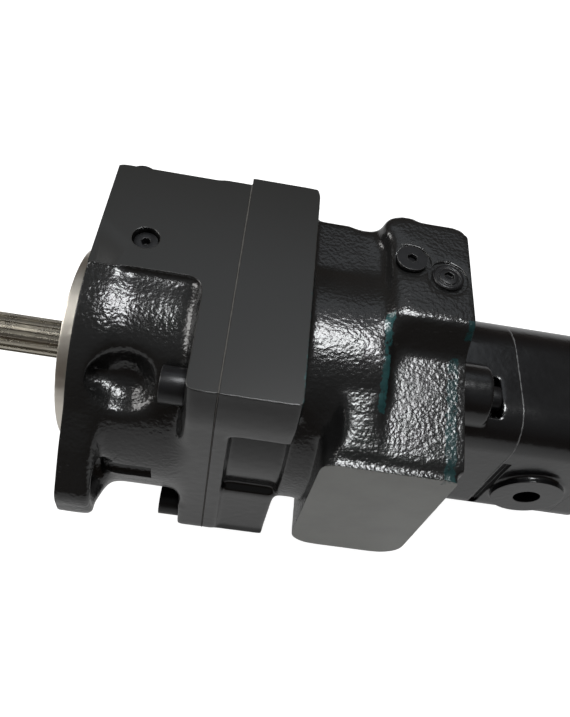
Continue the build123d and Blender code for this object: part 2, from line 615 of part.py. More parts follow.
with BuildPart() as shaft_coupling:
    turned([
        (COUPLING_X[0], COUPLING_SPLINE_R), (219, COUPLING_SPLINE_R), (219, GEAR_JOURNAL_R),
        (COUPLING_X[1], GEAR_JOURNAL_R), (COUPLING_X[1], 17), (COUPLING_X[0], 17),
    ])
finish(shaft_coupling, "shaft_coupling")


# --- Cylinder block, pistons and slippers ------------------------------------------------------
def piston_places():
    """Centres of the nine bores, the first at the top."""
    angles = [radians(90 + 360 * piston / PISTON_COUNT) for piston in range(PISTON_COUNT)]
    return [(PISTON_PITCH_R * cos(angle), PISTON_PITCH_R * sin(angle)) for angle in angles]


SPRING_CHAMBER_R = 27.0
SPRING_CHAMBER_X = (99.0, 132.0)
PIN_PITCH_R = 23.0
PIN_PLACES = [(PIN_PITCH_R * cos(radians(a)), PIN_PITCH_R * sin(radians(a))) for a in (30, 150, 270)]

with BuildPart() as cylinder_block:
    bar(BLOCK_X[0], BLOCK_X[1], BLOCK_R)
    chamfer(cylinder_block.edges().filter_by(GeomType.CIRCLE), 2)
    bars(BLOCK_X[0], 150, PISTON_R + PISTON_CLEARANCE, piston_places(), Mode.SUBTRACT)
    bars(150, BLOCK_X[1], 5.5, [(y * 0.98, z * 0.98) for y, z in piston_places()], Mode.SUBTRACT)
    bar(BLOCK_X[0], BLOCK_X[1], BLOCK_SPLINE_R, mode=Mode.SUBTRACT)
    bar(SPRING_CHAMBER_X[0], SPRING_CHAMBER_X[1], SPRING_CHAMBER_R, mode=Mode.SUBTRACT)
    bars(BLOCK_X[0], SPRING_CHAMBER_X[0], 2, PIN_PLACES, Mode.SUBTRACT)
finish(cylinder_block, "cylinder_block")

for number, (place_y, place_z) in enumerate(piston_places(), start=1):
    with BuildPart() as piston:
        neck_x = BALL_X + sqrt(BALL_R**2 - PISTON_NECK_R**2)
        round_nosed(BALL_X, BALL_R, [
            (neck_x, PISTON_NECK_R), (83, PISTON_NECK_R), (86, PISTON_R - 1), (87, PISTON_R),
            (PISTON_REAR_X, PISTON_R), (PISTON_REAR_X, 6), (100, 6), (98, 0),
        ], place_y, place_z)
    finish(piston, f"piston_{number}")

    with BuildPart() as slipper:
        turned([
            (SWASH_FACE_X + OIL_FILM, 0), (SWASH_FACE_X + OIL_FILM, SLIPPER_R), (66, SLIPPER_R),
            (66, SLIPPER_NECK_R), (77, SLIPPER_NECK_R), (77.5, SLIPPER_NECK_R - 0.5), (77.5, 0),
        ], place_y, place_z)
        ball(BALL_X, place_y, place_z, BALL_R + 0.03, Mode.SUBTRACT)
        bar(BALL_X + 3, 78, 6.9, place_y, place_z, Mode.SUBTRACT)
        bar(SWASH_FACE_X, SWASH_FACE_X + 0.8, 7, place_y, place_z, Mode.SUBTRACT)
    finish(slipper, f"slipper_{number}")

with BuildPart() as retainer_plate:
    bar(66.2, 70, RETAINER_R)
    bars(66.2, 70, SLIPPER_NECK_R + 0.4, piston_places(), Mode.SUBTRACT)
    bar(66.2, 70, RETAINER_BALL_R - 0.25, mode=Mode.SUBTRACT)
finish(retainer_plate, "retainer_plate")

with BuildPart() as retainer_ball:
    ball(74, 0, 0, RETAINER_BALL_R)
    bar(40, 68, 60, mode=Mode.SUBTRACT)
    bar(82, 110, 60, mode=Mode.SUBTRACT)
    bar(60, 90, BLOCK_SPLINE_R, mode=Mode.SUBTRACT)
finish(retainer_ball, "retainer_ball")

with BuildPart() as hold_down_pins:
    bars(82, 100, 1.95, PIN_PLACES)
finish(hold_down_pins, "hold_down_pins")

with BuildPart() as block_spring:
    coil(103, 24, 23, 1.6, 4)
finish(block_spring, "block_spring")

with BuildPart() as block_spring_rings:
    turned([(100, 19), (101.2, 19), (101.2, 26.5), (100, 26.5)])
    turned([(128.8, 19), (131.8, 19), (131.8, 27), (128.8, 27)])
finish(block_spring_rings, "block_spring_rings")

with BuildPart() as valve_plate:
    bar(BLOCK_X[1], PORT_FACE_X, BLOCK_R - 1)
    bar(BLOCK_X[1], PORT_FACE_X, 28, mode=Mode.SUBTRACT)
    with BuildSketch(Plane.YZ.offset(BLOCK_X[1])):
        for middle_angle in (0, 180):
            SlotArc(CenterArc((0, 0), PISTON_PITCH_R, middle_angle - 62, 124), 9)
    extrude(amount=PORT_FACE_X - BLOCK_X[1], mode=Mode.SUBTRACT)
    bars(BLOCK_X[1], PORT_FACE_X, 2, [(0, 47)], Mode.SUBTRACT)
finish(valve_plate, "valve_plate")


# --- Swash plate and stroke control ----------------------------------------------------------------
with BuildPart() as swash_plate:
    bar(SWASH_BACK_X, SWASH_FACE_X, SWASH_R)
    block((SWASH_BACK_X - 1, PIVOT_X + 2), (-60, 60), (44, 60), mode=Mode.SUBTRACT)
    block((PIVOT_X + 2, SWASH_FACE_X), (-30, 30), (38, PIVOT_Z + 4))
    bar(SWASH_BACK_X, SWASH_FACE_X, SWASH_BORE_R, mode=Mode.SUBTRACT)
    block((PIVOT_X - 2, SWASH_FACE_X), (-9, 9), (CONTROL_Z - 12, -48))
    for side in (1, -1):
        ball(PIVOT_X, side * PIVOT_Y, PIVOT_Z, PIVOT_BALL_R, Mode.SUBTRACT)
finish(swash_plate, "swash_plate")

with BuildPart() as swash_pivot_balls:
    for side in (1, -1):
        ball(PIVOT_X, side * PIVOT_Y, PIVOT_Z, PIVOT_BALL_R)
finish(swash_pivot_balls, "swash_pivot_balls")

with BuildPart() as control_piston:
    dome_x = CONTROL_X[0] + CONTROL_DOME_R
    shoulder_x = dome_x - sqrt(CONTROL_DOME_R**2 - CONTROL_R**2)
    round_nosed(dome_x, CONTROL_DOME_R, [
        (shoulder_x, CONTROL_R), (CONTROL_X[1], CONTROL_R), (CONTROL_X[1], 0),
    ], 0, CONTROL_Z)
finish(control_piston, "control_piston")

with BuildPart() as control_sleeve:
    bar(88, 149, CONTROL_SLEEVE_R, 0, CONTROL_Z)
    bar(88, 149, CONTROL_R + 0.03, 0, CONTROL_Z, Mode.SUBTRACT)
finish(control_sleeve, "control_sleeve")

with BuildPart() as return_springs:
    for side in (1, -1):
        coil(12, 32, 6, 1.2, 5, side * RETURN_SPRING_Y, 0)
finish(return_springs, "return_springs")

with BuildPart() as compensator_spool:
    crossbar(COMPENSATOR_X, COMPENSATOR_Z, -2, 30, SPOOL_R)
    with BuildSketch(Plane.XZ.offset(-18)) as groove:
        with Locations((COMPENSATOR_X, COMPENSATOR_Z)):
            Circle(SPOOL_R)
            Circle(SPOOL_R - 2, mode=Mode.SUBTRACT)
    extrude(groove.sketch, amount=8, mode=Mode.SUBTRACT)
finish(compensator_spool, "compensator_spool")

with BuildPart() as compensator_spring:
    spring_path = Helix(4.6, 23, 5.5, center=(COMPENSATOR_X, 31.5, COMPENSATOR_Z), direction=(0, 1, 0))
    with BuildSketch(Plane(origin=spring_path @ 0, z_dir=spring_path % 0)) as spring_wire:
        Circle(1)
    sweep(spring_wire.sketch, path=spring_path, is_frenet=True)
finish(compensator_spring, "compensator_spring")

with BuildPart() as compensator_cap:
    crossbar(COMPENSATOR_X, COMPENSATOR_Z, 56, 76, 9)
    crossbar(COMPENSATOR_X, COMPENSATOR_Z, 75, 84, 13)
    crossbar(COMPENSATOR_X, COMPENSATOR_Z, 84, 92, 5)
finish(compensator_cap, "compensator_cap")


# --- Gear pump ------------------------------------------------------------------------------------------
def gear_case_section(section):
    """Section of the gear pump's case, rounder on its far side."""
    height = GEAR_CASE_TOP_Z - GEAR_CASE_BOTTOM_Z
    with Locations((0, GEAR_CASE_TOP_Z - height / 2)):
        Rectangle(2 * GEAR_CASE_Y, height)
    fillet(section.vertices().group_by(Axis.X)[0], GEAR_CASE_NEAR_R)
    fillet(section.vertices().group_by(Axis.X)[-1], GEAR_CASE_FAR_R)


with BuildPart() as gear_pump_cover:
    with BuildSketch(Plane.YZ.offset(COVER_X[0])) as gear_pump_cover_section:
        gear_case_section(gear_pump_cover_section)
    extrude(amount=COVER_X[1] - COVER_X[0])
    for ear_y, ear_z in EAR_PLACES:
        bar(COVER_X[0], EAR_END_X, EAR_R, ear_y, ear_z)
        bar(EAR_END_X, EAR_END_X + EAR_POCKET, EAR_R - 6, ear_y, ear_z, Mode.SUBTRACT)
        bar(COVER_X[0], EAR_END_X, M10_R + 0.5, ear_y, ear_z, Mode.SUBTRACT)
    bar(COVER_X[0], COVER_X[0] + 18, 20, mode=Mode.SUBTRACT)
    bar(COVER_X[0], COVER_X[1], GEAR_JOURNAL_R + 1, mode=Mode.SUBTRACT)
    bar(254, 262, 14, mode=Mode.SUBTRACT)
    bars(COVER_X[1] - GEAR_BOLT_REACH - 0.5, COVER_X[1], M10_R, GEAR_BOLT_PLACES, Mode.SUBTRACT)
finish(gear_pump_cover, "gear_pump_cover")

with BuildPart() as gear_pump_body:
    with BuildSketch(Plane.YZ.offset(BODY_X[0])) as gear_pump_body_section:
        gear_case_section(gear_pump_body_section)
    extrude(amount=BODY_X[1] - BODY_X[0])
    for side in (-1, 1):
        low_y, high_y = sorted((side * 40, side * GEAR_PORT_FACE_Y))
        crossbar(GEAR_PORT_X, GEAR_PORT_Z, low_y, high_y, GEAR_PORT_BOSS_R)
    bars(BODY_X[0], BODY_X[1], GEAR_BORE_R, [(0, 0), (0, GEAR_AXIS_Z)], Mode.SUBTRACT)
    crossbar(GEAR_PORT_X, GEAR_PORT_Z, -GEAR_PORT_FACE_Y, GEAR_PORT_FACE_Y, GEAR_PORT_R - 2, Mode.SUBTRACT)
    inner_y = GEAR_PORT_FACE_Y - GEAR_PORT_DEPTH
    crossbar(GEAR_PORT_X, GEAR_PORT_Z, -GEAR_PORT_FACE_Y, -inner_y, GEAR_PORT_R, Mode.SUBTRACT)
    crossbar(GEAR_PORT_X, GEAR_PORT_Z, inner_y, GEAR_PORT_FACE_Y, GEAR_PORT_R, Mode.SUBTRACT)
    bars(BODY_X[0], BODY_X[1], M10_R + 0.5, GEAR_BOLT_PLACES, Mode.SUBTRACT)
finish(gear_pump_body, "gear_pump_body")

with BuildPart() as gear_pump_end_cover:
    with BuildSketch(Plane.YZ.offset(END_COVER_X[0])) as gear_pump_end_cover_section:
        gear_case_section(gear_pump_end_cover_section)
    extrude(amount=END_COVER_X[1] - END_COVER_X[0])
    chamfer(gear_pump_end_cover.faces().sort_by(Axis.X)[-1].edges(), 3)
    bars(END_COVER_X[0], END_COVER_X[1], M10_R + 0.5, GEAR_BOLT_PLACES, Mode.SUBTRACT)
finish(gear_pump_end_cover, "gear_pump_end_cover")

with BuildPart() as gear_pump_bolts:
    for bolt_y, bolt_z in GEAR_BOLT_PLACES:
        bar(COVER_X[1] - GEAR_BOLT_REACH, END_COVER_X[1], M10_R, bolt_y, bolt_z)
        bar(END_COVER_X[1], END_COVER_X[1] + M10_HEAD, M10_HEAD_R, bolt_y, bolt_z)
        hex_hole(END_COVER_X[1] + M10_HEAD / 2, END_COVER_X[1] + M10_HEAD, 8, bolt_y, bolt_z)
finish(gear_pump_bolts, "gear_pump_bolts")

with BuildPart() as gear_pump_mount_bolts:
    for bolt_y, bolt_z in EAR_PLACES:
        bar(REAR_X - 22, EAR_END_X, M10_R, bolt_y, bolt_z)
        bar(EAR_END_X, EAR_END_X + M10_HEAD, M10_HEAD_R, bolt_y, bolt_z)
        hex_hole(EAR_END_X + M10_HEAD / 2, EAR_END_X + M10_HEAD, 8, bolt_y, bolt_z)
finish(gear_pump_mount_bolts, "gear_pump_mount_bolts")

with BuildPart() as gear_shaft_seal:
    turned([(254, 14), (261, 14), (261, 12.6), (255.5, 12.6), (255.5, 10), (258, 8.02), (254, 9.2)])
finish(gear_shaft_seal, "gear_shaft_seal")

with BuildPart() as gear_bearing_blocks:
    for x_start, x_end in ((BODY_X[0], GEAR_X[0] - 0.05), (GEAR_X[1] + 0.05, BODY_X[1])):
        bars(x_start, x_end, GEAR_BORE_R, [(0, 0), (0, GEAR_AXIS_Z)])
        bars(x_start, x_end, GEAR_JOURNAL_R + 0.03, [(0, 0), (0, GEAR_AXIS_Z)], Mode.SUBTRACT)
finish(gear_bearing_blocks, "gear_bearing_blocks")

with BuildPart() as gear_drive_shaft:
    with BuildSketch(Plane.YZ.offset(GEAR_X[0])):
        with BuildLine():
            Polyline(*gear_outline(-90, 0), close=True)
        make_face()
    extrude(amount=GEAR_X[1] - GEAR_X[0])
    bar(220, BODY_X[1] - 2, GEAR_JOURNAL_R)
finish(gear_drive_shaft, "gear_drive_shaft")

with BuildPart() as driven_gear:
    with BuildSketch(Plane.YZ.offset(GEAR_X[0])):
        with BuildLine():
            Polyline(*gear_outline(90 + 180 / GEAR_TEETH, GEAR_AXIS_Z), close=True)
        make_face()
    extrude(amount=GEAR_X[1] - GEAR_X[0])
    bar(BODY_X[0] + 1, BODY_X[1] - 2, GEAR_JOURNAL_R, 0, GEAR_AXIS_Z)
finish(driven_gear, "driven_gear")
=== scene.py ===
"""Looks of the axial piston pump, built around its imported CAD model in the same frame, in metres."""
import json
from math import radians, sin

import bpy
from mathutils import Matrix, Vector


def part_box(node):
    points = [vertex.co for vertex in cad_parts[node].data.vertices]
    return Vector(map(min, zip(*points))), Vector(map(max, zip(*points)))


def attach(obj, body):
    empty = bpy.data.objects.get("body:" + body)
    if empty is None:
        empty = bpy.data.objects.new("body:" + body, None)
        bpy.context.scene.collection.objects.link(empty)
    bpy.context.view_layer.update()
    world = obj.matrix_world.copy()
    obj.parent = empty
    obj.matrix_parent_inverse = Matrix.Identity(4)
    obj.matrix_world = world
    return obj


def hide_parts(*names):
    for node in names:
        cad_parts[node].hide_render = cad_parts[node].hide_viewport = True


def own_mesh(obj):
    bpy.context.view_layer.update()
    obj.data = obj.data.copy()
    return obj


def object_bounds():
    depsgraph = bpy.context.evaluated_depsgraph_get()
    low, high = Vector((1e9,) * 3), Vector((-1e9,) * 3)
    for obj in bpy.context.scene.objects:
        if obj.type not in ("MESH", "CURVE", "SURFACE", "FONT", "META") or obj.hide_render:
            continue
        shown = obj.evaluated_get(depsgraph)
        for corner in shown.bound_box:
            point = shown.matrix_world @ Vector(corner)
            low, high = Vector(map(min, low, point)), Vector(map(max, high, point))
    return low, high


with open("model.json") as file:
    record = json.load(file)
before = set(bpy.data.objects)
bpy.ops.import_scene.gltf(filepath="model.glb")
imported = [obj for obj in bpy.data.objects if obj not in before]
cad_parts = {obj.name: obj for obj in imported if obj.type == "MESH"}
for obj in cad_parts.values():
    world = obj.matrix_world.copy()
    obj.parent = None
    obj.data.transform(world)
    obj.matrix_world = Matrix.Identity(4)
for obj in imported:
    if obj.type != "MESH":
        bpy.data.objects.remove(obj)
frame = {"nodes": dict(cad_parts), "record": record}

cad_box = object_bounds()
bpy.ops.object.select_all(action="DESELECT")


# --- Camera ---------------------------------------------------------------------------
# A hand-held view from above and in front, turned a little about its own axis, so that
# the shaft runs down towards the right.
CAMERA_PLACE = (0.0899, -0.2533, 0.3889)
CAMERA_RIGHT = (0.9860, 0.0831, 0.1446)
CAMERA_UP = (-0.1498, 0.8227, 0.5484)
CAMERA_BACK = (-0.0734, -0.5624, 0.8236)
LENS = 33.84

bpy.ops.object.camera_add()
camera = bpy.context.object
camera.name = "camera"
turn = Matrix((CAMERA_RIGHT, CAMERA_UP, CAMERA_BACK)).transposed().to_4x4()
camera.matrix_world = Matrix.Translation(CAMERA_PLACE) @ turn
camera.data.lens = LENS
camera.data.clip_start = 0.01
bpy.context.scene.camera = camera
bpy.context.scene.view_settings.view_transform = "Standard"


# --- Floor and light ------------------------------------------------------------------
# A wide white sweep under the pump, a soft light overhead, a window at the shaft end and
# a weak skylight beyond. The sweep lights the sides from below more weakly than it shows.
FLOOR_DROP = 0.004
FLOOR_SIZE = 6.0
FLOOR_COLOUR = (0.30, 0.30, 0.30, 1.0)
FLOOR_GLOW = 1.0
FLOOR_GLOW_REFLECTED = 0.34

bpy.ops.mesh.primitive_plane_add(size=FLOOR_SIZE, location=(0.15, 0.0, cad_box[0].z - FLOOR_DROP))
floor = bpy.context.object
floor.name = "floor"
floor_finish = bpy.data.materials.new("white_sweep")
floor_finish.use_nodes = True
floor_shader = floor_finish.node_tree.nodes["Principled BSDF"]
floor_shader.inputs["Base Color"].default_value = FLOOR_COLOUR
floor_shader.inputs["Roughness"].default_value = 0.9
floor_shader.inputs["Specular IOR Level"].default_value = 0.1
floor_shader.inputs["Emission Color"].default_value = (1.0, 1.0, 1.0, 1.0)
floor_seen = floor_finish.node_tree.nodes.new("ShaderNodeLightPath")
floor_glow = floor_finish.node_tree.nodes.new("ShaderNodeMapRange")
floor_glow.inputs["To Min"].default_value = FLOOR_GLOW_REFLECTED
floor_glow.inputs["To Max"].default_value = FLOOR_GLOW
floor_finish.node_tree.links.new(floor_seen.outputs["Is Camera Ray"], floor_glow.inputs["Value"])
floor_finish.node_tree.links.new(floor_glow.outputs["Result"], floor_shader.inputs["Emission Strength"])
floor.data.materials.append(floor_finish)

for light_name, place, aim, size, power, tint in (
    ("overhead_softbox", (0.24, 0.08, 1.20), (0.12, -0.01, 0.0), (0.32, 0.40), 11.0, (0.97, 0.99, 1.0)),
    ("left_window", (-0.85, 0.05, 0.70), (0.08, 0.0, 0.0), (0.55, 0.70), 9.0, (1.0, 0.99, 0.97)),
    ("far_skylight", (0.20, 1.05, 1.45), (0.15, 0.0, 0.0), (1.4, 0.5), 1.3, (0.86, 0.93, 1.0)),
):
    bpy.ops.object.light_add(type="AREA", location=place)
    softbox = bpy.context.object
    softbox.name = light_name
    softbox.data.shape = "RECTANGLE"
    softbox.data.size, softbox.data.size_y = size
    softbox.data.energy = power
    softbox.data.color = tint
    softbox.rotation_euler = (Vector(aim) - Vector(place)).to_track_quat("-Z", "Y").to_euler()

# The room around the sweep: dark and warm near the horizon, a dim grey ceiling above it
ROOM_WARM = (0.050, 0.036, 0.027, 1.0)
ROOM_CEILING = (0.13, 0.13, 0.13, 1.0)
ROOM_SEEN = (0.90, 0.90, 0.90, 1.0)

studio = bpy.data.worlds.new("studio")
bpy.context.scene.world = studio
studio.use_nodes = True
room = studio.node_tree
room_direction = room.nodes.new("ShaderNodeTexCoord")
room_height = room.nodes.new("ShaderNodeSeparateXYZ")
room.links.new(room_direction.outputs["Generated"], room_height.inputs[0])
room_shade = room.nodes.new("ShaderNodeValToRGB")
room.links.new(room_height.outputs["Z"], room_shade.inputs["Fac"])
room_shade.color_ramp.elements[0].position = 0.35
room_shade.color_ramp.elements[0].color = ROOM_WARM
room_shade.color_ramp.elements[1].position = 0.80
room_shade.color_ramp.elements[1].color = ROOM_CEILING
room_light = room.nodes["Background"]
room.links.new(room_shade.outputs["Color"], room_light.inputs["Color"])
room_seen = room.nodes.new("ShaderNodeBackground")
room_seen.inputs["Color"].default_value = ROOM_SEEN
room_path = room.nodes.new("ShaderNodeLightPath")
room_mix = room.nodes.new("ShaderNodeMixShader")
room.links.new(room_path.outputs["Is Camera Ray"], room_mix.inputs["Fac"])
room.links.new(room_light.outputs[0], room_mix.inputs[1])
room.links.new(room_seen.outputs[0], room_mix.inputs[2])
room.links.new(room_mix.outputs[0], room.nodes["World Output"].inputs["Surface"])


# --- Castings -------------------------------------------------------------------------
# Two grey-iron castings, shot-blasted and sprayed satin black. Joint, pad and top faces
# are milled flat before painting, and the pilot is turned last and left bare.
def new_group(name, inputs, outputs):
    """An empty shader group with its sockets, and its input and output nodes."""
    tree = bpy.data.node_groups.new(name, "ShaderNodeTree")
    for label, kind, value in inputs:
        socket = tree.interface.new_socket(label, in_out="INPUT", socket_type=kind)
        if value is not None:
            socket.default_value = value
    for label, kind in outputs:
        tree.interface.new_socket(label, in_out="OUTPUT", socket_type=kind)
    return tree, tree.nodes.new("NodeGroupInput"), tree.nodes.new("NodeGroupOutput")


def maths(tree, operation, first, second=None, third=None, clamp=False):
    """A Math node on numbers or sockets, and its result."""
    node = tree.nodes.new("ShaderNodeMath")
    node.operation = operation
    node.use_clamp = clamp
    for slot_number, value in enumerate((first, second, third)):
        if value is None:
            continue
        if isinstance(value, (int, float)):
            node.inputs[slot_number].default_value = value
        else:
            tree.links.new(value, node.inputs[slot_number])
    return node.outputs[0]


def remap(tree, value, low, high, out_low=0.0, out_high=1.0, smooth=True):
    """A clamped change of range."""
    node = tree.nodes.new("ShaderNodeMapRange")
    node.interpolation_type = "SMOOTHSTEP" if smooth else "LINEAR"
    tree.links.new(value, node.inputs["Value"])
    for label, number in (("From Min", low), ("From Max", high), ("To Min", out_low), ("To Max", out_high)):
        node.inputs[label].default_value = number
    return node.outputs["Result"]


def noise(tree, vector, scale, detail=2.0, rough=0.5, distortion=0.0):
    """A noise field over a vector."""
    node = tree.nodes.new("ShaderNodeTexNoise")
    tree.links.new(vector, node.inputs["Vector"])
    if isinstance(scale, (int, float)):
        node.inputs["Scale"].default_value = scale
    else:
        tree.links.new(scale, node.inputs["Scale"])
    node.inputs["Detail"].default_value = detail
    node.inputs["Roughness"].default_value = rough
    node.inputs["Distortion"].default_value = distortion
    return node.outputs["Fac"]


def blend_colour(tree, factor, first, second):
    """A mix of two colours."""
    node = tree.nodes.new("ShaderNodeMix")
    node.data_type = "RGBA"
    tree.links.new(factor, node.inputs["Factor"])
    for label, value in (("A", first), ("B", second)):
        socket = [s for s in node.inputs if s.name == label and s.type == "RGBA"][0]
        if isinstance(value, tuple):
            socket.default_value = value
        else:
            tree.links.new(value, socket)
    return [s for s in node.outputs if s.type == "RGBA"][0]


def blend_value(tree, factor, first, second):
    """A mix of two numbers or sockets."""
    node = tree.nodes.new("ShaderNodeMix")
    tree.links.new(factor, node.inputs["Factor"])
    for label, value in (("A", first), ("B", second)):
        socket = [s for s in node.inputs if s.name == label and s.type == "VALUE"][0]
        if isinstance(value, (int, float)):
            socket.default_value = value
        else:
            tree.links.new(value, socket)
    return [s for s in node.outputs if s.type == "VALUE"][0]


def only(piece):
    """Selects one piece and makes it active."""
    bpy.ops.object.select_all(action="DESELECT")
    piece.select_set(True)
    bpy.context.view_layer.objects.active = piece


def merged_copy(node, name):
    """A piece that starts as a CAD node's own mesh with its doubles merged."""
    piece = bpy.data.objects.new(name, frame["nodes"][node].data.copy())
    bpy.context.scene.collection.objects.link(piece)
    only(piece)
    bpy.ops.object.mode_set(mode="EDIT")
    bpy.ops.mesh.select_all(action="SELECT")
    bpy.ops.mesh.remove_doubles(threshold=1e-6)
    bpy.ops.object.mode_set(mode="OBJECT")
    return piece


def leave_stock(piece, axis, level, amount):
    """Moves a flat face out along its axis, as the allowance that milling takes off again."""
    only(piece)
    bpy.ops.object.mode_set(mode="EDIT")
    bpy.ops.mesh.select_mode(type="VERT")
    bpy.ops.mesh.select_all(action="DESELECT")
    bpy.ops.object.mode_set(mode="OBJECT")
    for corner in piece.data.vertices:
        corner.select = abs(corner.co[axis] - level) < LEVEL_TOLERANCE
    bpy.ops.object.mode_set(mode="EDIT")
    bpy.ops.transform.translate(value=[amount if i == axis else 0.0 for i in range(3)])
    bpy.ops.object.mode_set(mode="OBJECT")


def finish_modifier(piece, kind, **settings):
    """Adds one modifier with its settings and applies it."""
    only(piece)
    modifier = piece.modifiers.new("work", kind)
    for label, value in settings.items():
        setattr(modifier, label, value)
    bpy.ops.object.modifier_apply(modifier="work")


def slab(low, high):
    """A straight-sided cutter between two corners."""
    bpy.ops.mesh.primitive_cube_add(size=1.0, location=(Vector(low) + Vector(high)) / 2)
    cutter = bpy.context.object
    cutter.scale = Vector(high) - Vector(low)
    bpy.ops.object.transform_apply(location=True, rotation=True, scale=True)
    return cutter


def drill(start, end, radius, sides=64):
    """A round cutter from start to end."""
    path = Vector(end) - Vector(start)
    bpy.ops.mesh.primitive_cylinder_add(
        vertices=sides, radius=radius, depth=path.length, location=(Vector(start) + Vector(end)) / 2,
        rotation=path.to_track_quat("Z", "Y").to_euler(),
    )
    cutter = bpy.context.object
    bpy.ops.object.transform_apply(location=True, rotation=True, scale=True)
    return cutter


def machine(piece, *cutters):
    """Takes each cutter out of a piece and throws the cutter away."""
    for cutter in cutters:
        finish_modifier(piece, "BOOLEAN", operation="DIFFERENCE", solver="MANIFOLD", object=cutter)
        bpy.data.objects.remove(cutter)


LEVEL_TOLERANCE = 0.0001
STOCK = 0.003
SAND_GRID = 0.0015
SAND_ROUNDS = 22
COVE_ROUNDS = 90
COVE_FADE = 0.009
CLEAR = 0.03
BLOCK_TOP_Z = 0.0895
SUCTION_FACE_Y = 0.084
DELIVERY_FACE_Z = -0.090
SKIN_RELIEF = 0.00018
CREASE_ANGLE = radians(38)
EAR_HOLE_R = 0.00875
EAR_HOLE_REACH = 0.05
CORNER_HOLE_R = 0.00715
CORNER_HOLE_REACH = 0.02
DRAIN_HOLE_R = 0.0082
DRAIN_HOLE_DEPTH = 0.009
SPOT_FACE_R = 0.0128
SPOT_FACE_DEPTH = 0.0015
FACING_R = 0.2

sand = bpy.data.textures.new("sand_relief", "CLOUDS")
sand.noise_scale = 0.0042
sand.noise_depth = 1
mounts = {mount["name"]: mount for mount in frame["record"]["mounts"]}


def cast(piece, coves):
    """Rounds edges and hollows as a sand mould does, the coves most, and gives the skin its relief."""
    finish_modifier(piece, "REMESH", mode="VOXEL", voxel_size=SAND_GRID, adaptivity=0.0)
    finish_modifier(piece, "SMOOTH", factor=0.5, iterations=SAND_ROUNDS)
    cove_group = piece.vertex_groups.new(name="coves")
    for low, high in coves:
        for corner in piece.data.vertices:
            depth = min(min(corner.co[i] - low[i], high[i] - corner.co[i]) for i in range(3))
            if depth > 0:
                cove_group.add([corner.index], min(1.0, depth / COVE_FADE), "REPLACE")
    finish_modifier(piece, "SMOOTH", factor=0.5, iterations=COVE_ROUNDS, vertex_group="coves")
    finish_modifier(
        piece, "DISPLACE", texture=sand, texture_coords="LOCAL", strength=SKIN_RELIEF, mid_level=1.0,
    )


FRONT_COVES = [
    ((0.006, -0.110, -0.060), (0.074, -0.004, 0.0950)),
]
REAR_COVES = [
    ((0.152, -0.030, 0.050), (0.192, 0.100, 0.100)),
    ((0.120, -0.080, 0.040), (0.180, -0.050, 0.072)),
]

front_low, front_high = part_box("front_housing")
front_casting = merged_copy("front_housing", "front_casting")
for axis, level, amount in (
    (2, front_high.z, STOCK), (0, front_high.x, STOCK), (0, front_low.x, -STOCK), (0, 0.0, -STOCK),
):
    leave_stock(front_casting, axis, level, amount)
cast(front_casting, FRONT_COVES)
pilot_r = mounts["pilot"]["dims"]["r_mm"] / 1000
facing = drill((front_low.x, 0, 0), (0, 0, 0), FACING_R, 128)
machine(facing, drill((front_low.x - CLEAR, 0, 0), (CLEAR, 0, 0), pilot_r, 256))
ear_y = mounts["flange_bolts_2"]["dims"]["spacing_x_mm"] / 2000
corner = mounts["flange_bolts_4"]["dims"]["pcd_mm"] / 2000 * 0.5**0.5
drain_low, drain_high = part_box("drain_plug")
drain_x, drain_y = (drain_low.x + drain_high.x) / 2, (drain_low.y + drain_high.y) / 2
machine(
    front_casting,
    slab((-0.1, -0.2, front_high.z), (0.2, 0.2, front_high.z + CLEAR)),
    slab((front_high.x, -0.2, -0.2), (front_high.x + CLEAR, 0.2, 0.2)),
    slab((front_low.x - CLEAR, -0.2, -0.2), (front_low.x, 0.2, 0.2)),
    facing,
    *[drill((-CLEAR, side * ear_y, 0), (EAR_HOLE_REACH, side * ear_y, 0), EAR_HOLE_R) for side in (-1, 1)],
    *[
        drill((-CLEAR, y * corner, z * corner), (CORNER_HOLE_REACH, y * corner, z * corner), CORNER_HOLE_R)
        for y in (-1, 1) for z in (-1, 1)
    ],
    drill(
        (drain_x, drain_y, front_high.z - DRAIN_HOLE_DEPTH), (drain_x, drain_y, front_high.z + CLEAR),
        DRAIN_HOLE_R,
    ),
)

rear_low, rear_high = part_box("rear_housing")
rear_casting = merged_copy("rear_housing", "rear_casting")
for axis, level, amount in (
    (2, rear_high.z, STOCK), (0, rear_low.x, -STOCK), (0, rear_high.x, STOCK),
    (1, rear_low.y, -STOCK), (1, SUCTION_FACE_Y, STOCK), (2, DELIVERY_FACE_Z, -STOCK),
):
    leave_stock(rear_casting, axis, level, amount)
cast(rear_casting, REAR_COVES)
plugs_low, plugs_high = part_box("gallery_plugs")
PLUG_HEAD_R = 0.0098
plug_places = [
    (plugs_low.x + PLUG_HEAD_R, plugs_high.y - PLUG_HEAD_R),
    (plugs_high.x - PLUG_HEAD_R, plugs_low.y + PLUG_HEAD_R),
]
machine(
    rear_casting,
    slab((0.05, -0.2, rear_high.z), (0.25, 0.2, rear_high.z + CLEAR)),
    slab((rear_low.x - CLEAR, -0.2, -0.2), (rear_low.x, 0.2, 0.2)),
    slab((rear_high.x, -0.2, -0.2), (rear_high.x + CLEAR, 0.2, 0.2)),
    slab((0.1, rear_low.y - CLEAR, -0.1), (0.25, rear_low.y, 0.1)),
    slab((0.14, SUCTION_FACE_Y, -0.1), (0.25, SUCTION_FACE_Y + CLEAR, 0.1)),
    slab((0.16, -0.08, DELIVERY_FACE_Z - CLEAR), (0.25, -0.005, DELIVERY_FACE_Z)),
    *[
        drill((x, y, BLOCK_TOP_Z - SPOT_FACE_DEPTH), (x, y, BLOCK_TOP_Z + CLEAR), SPOT_FACE_R)
        for x, y in plug_places
    ],
)

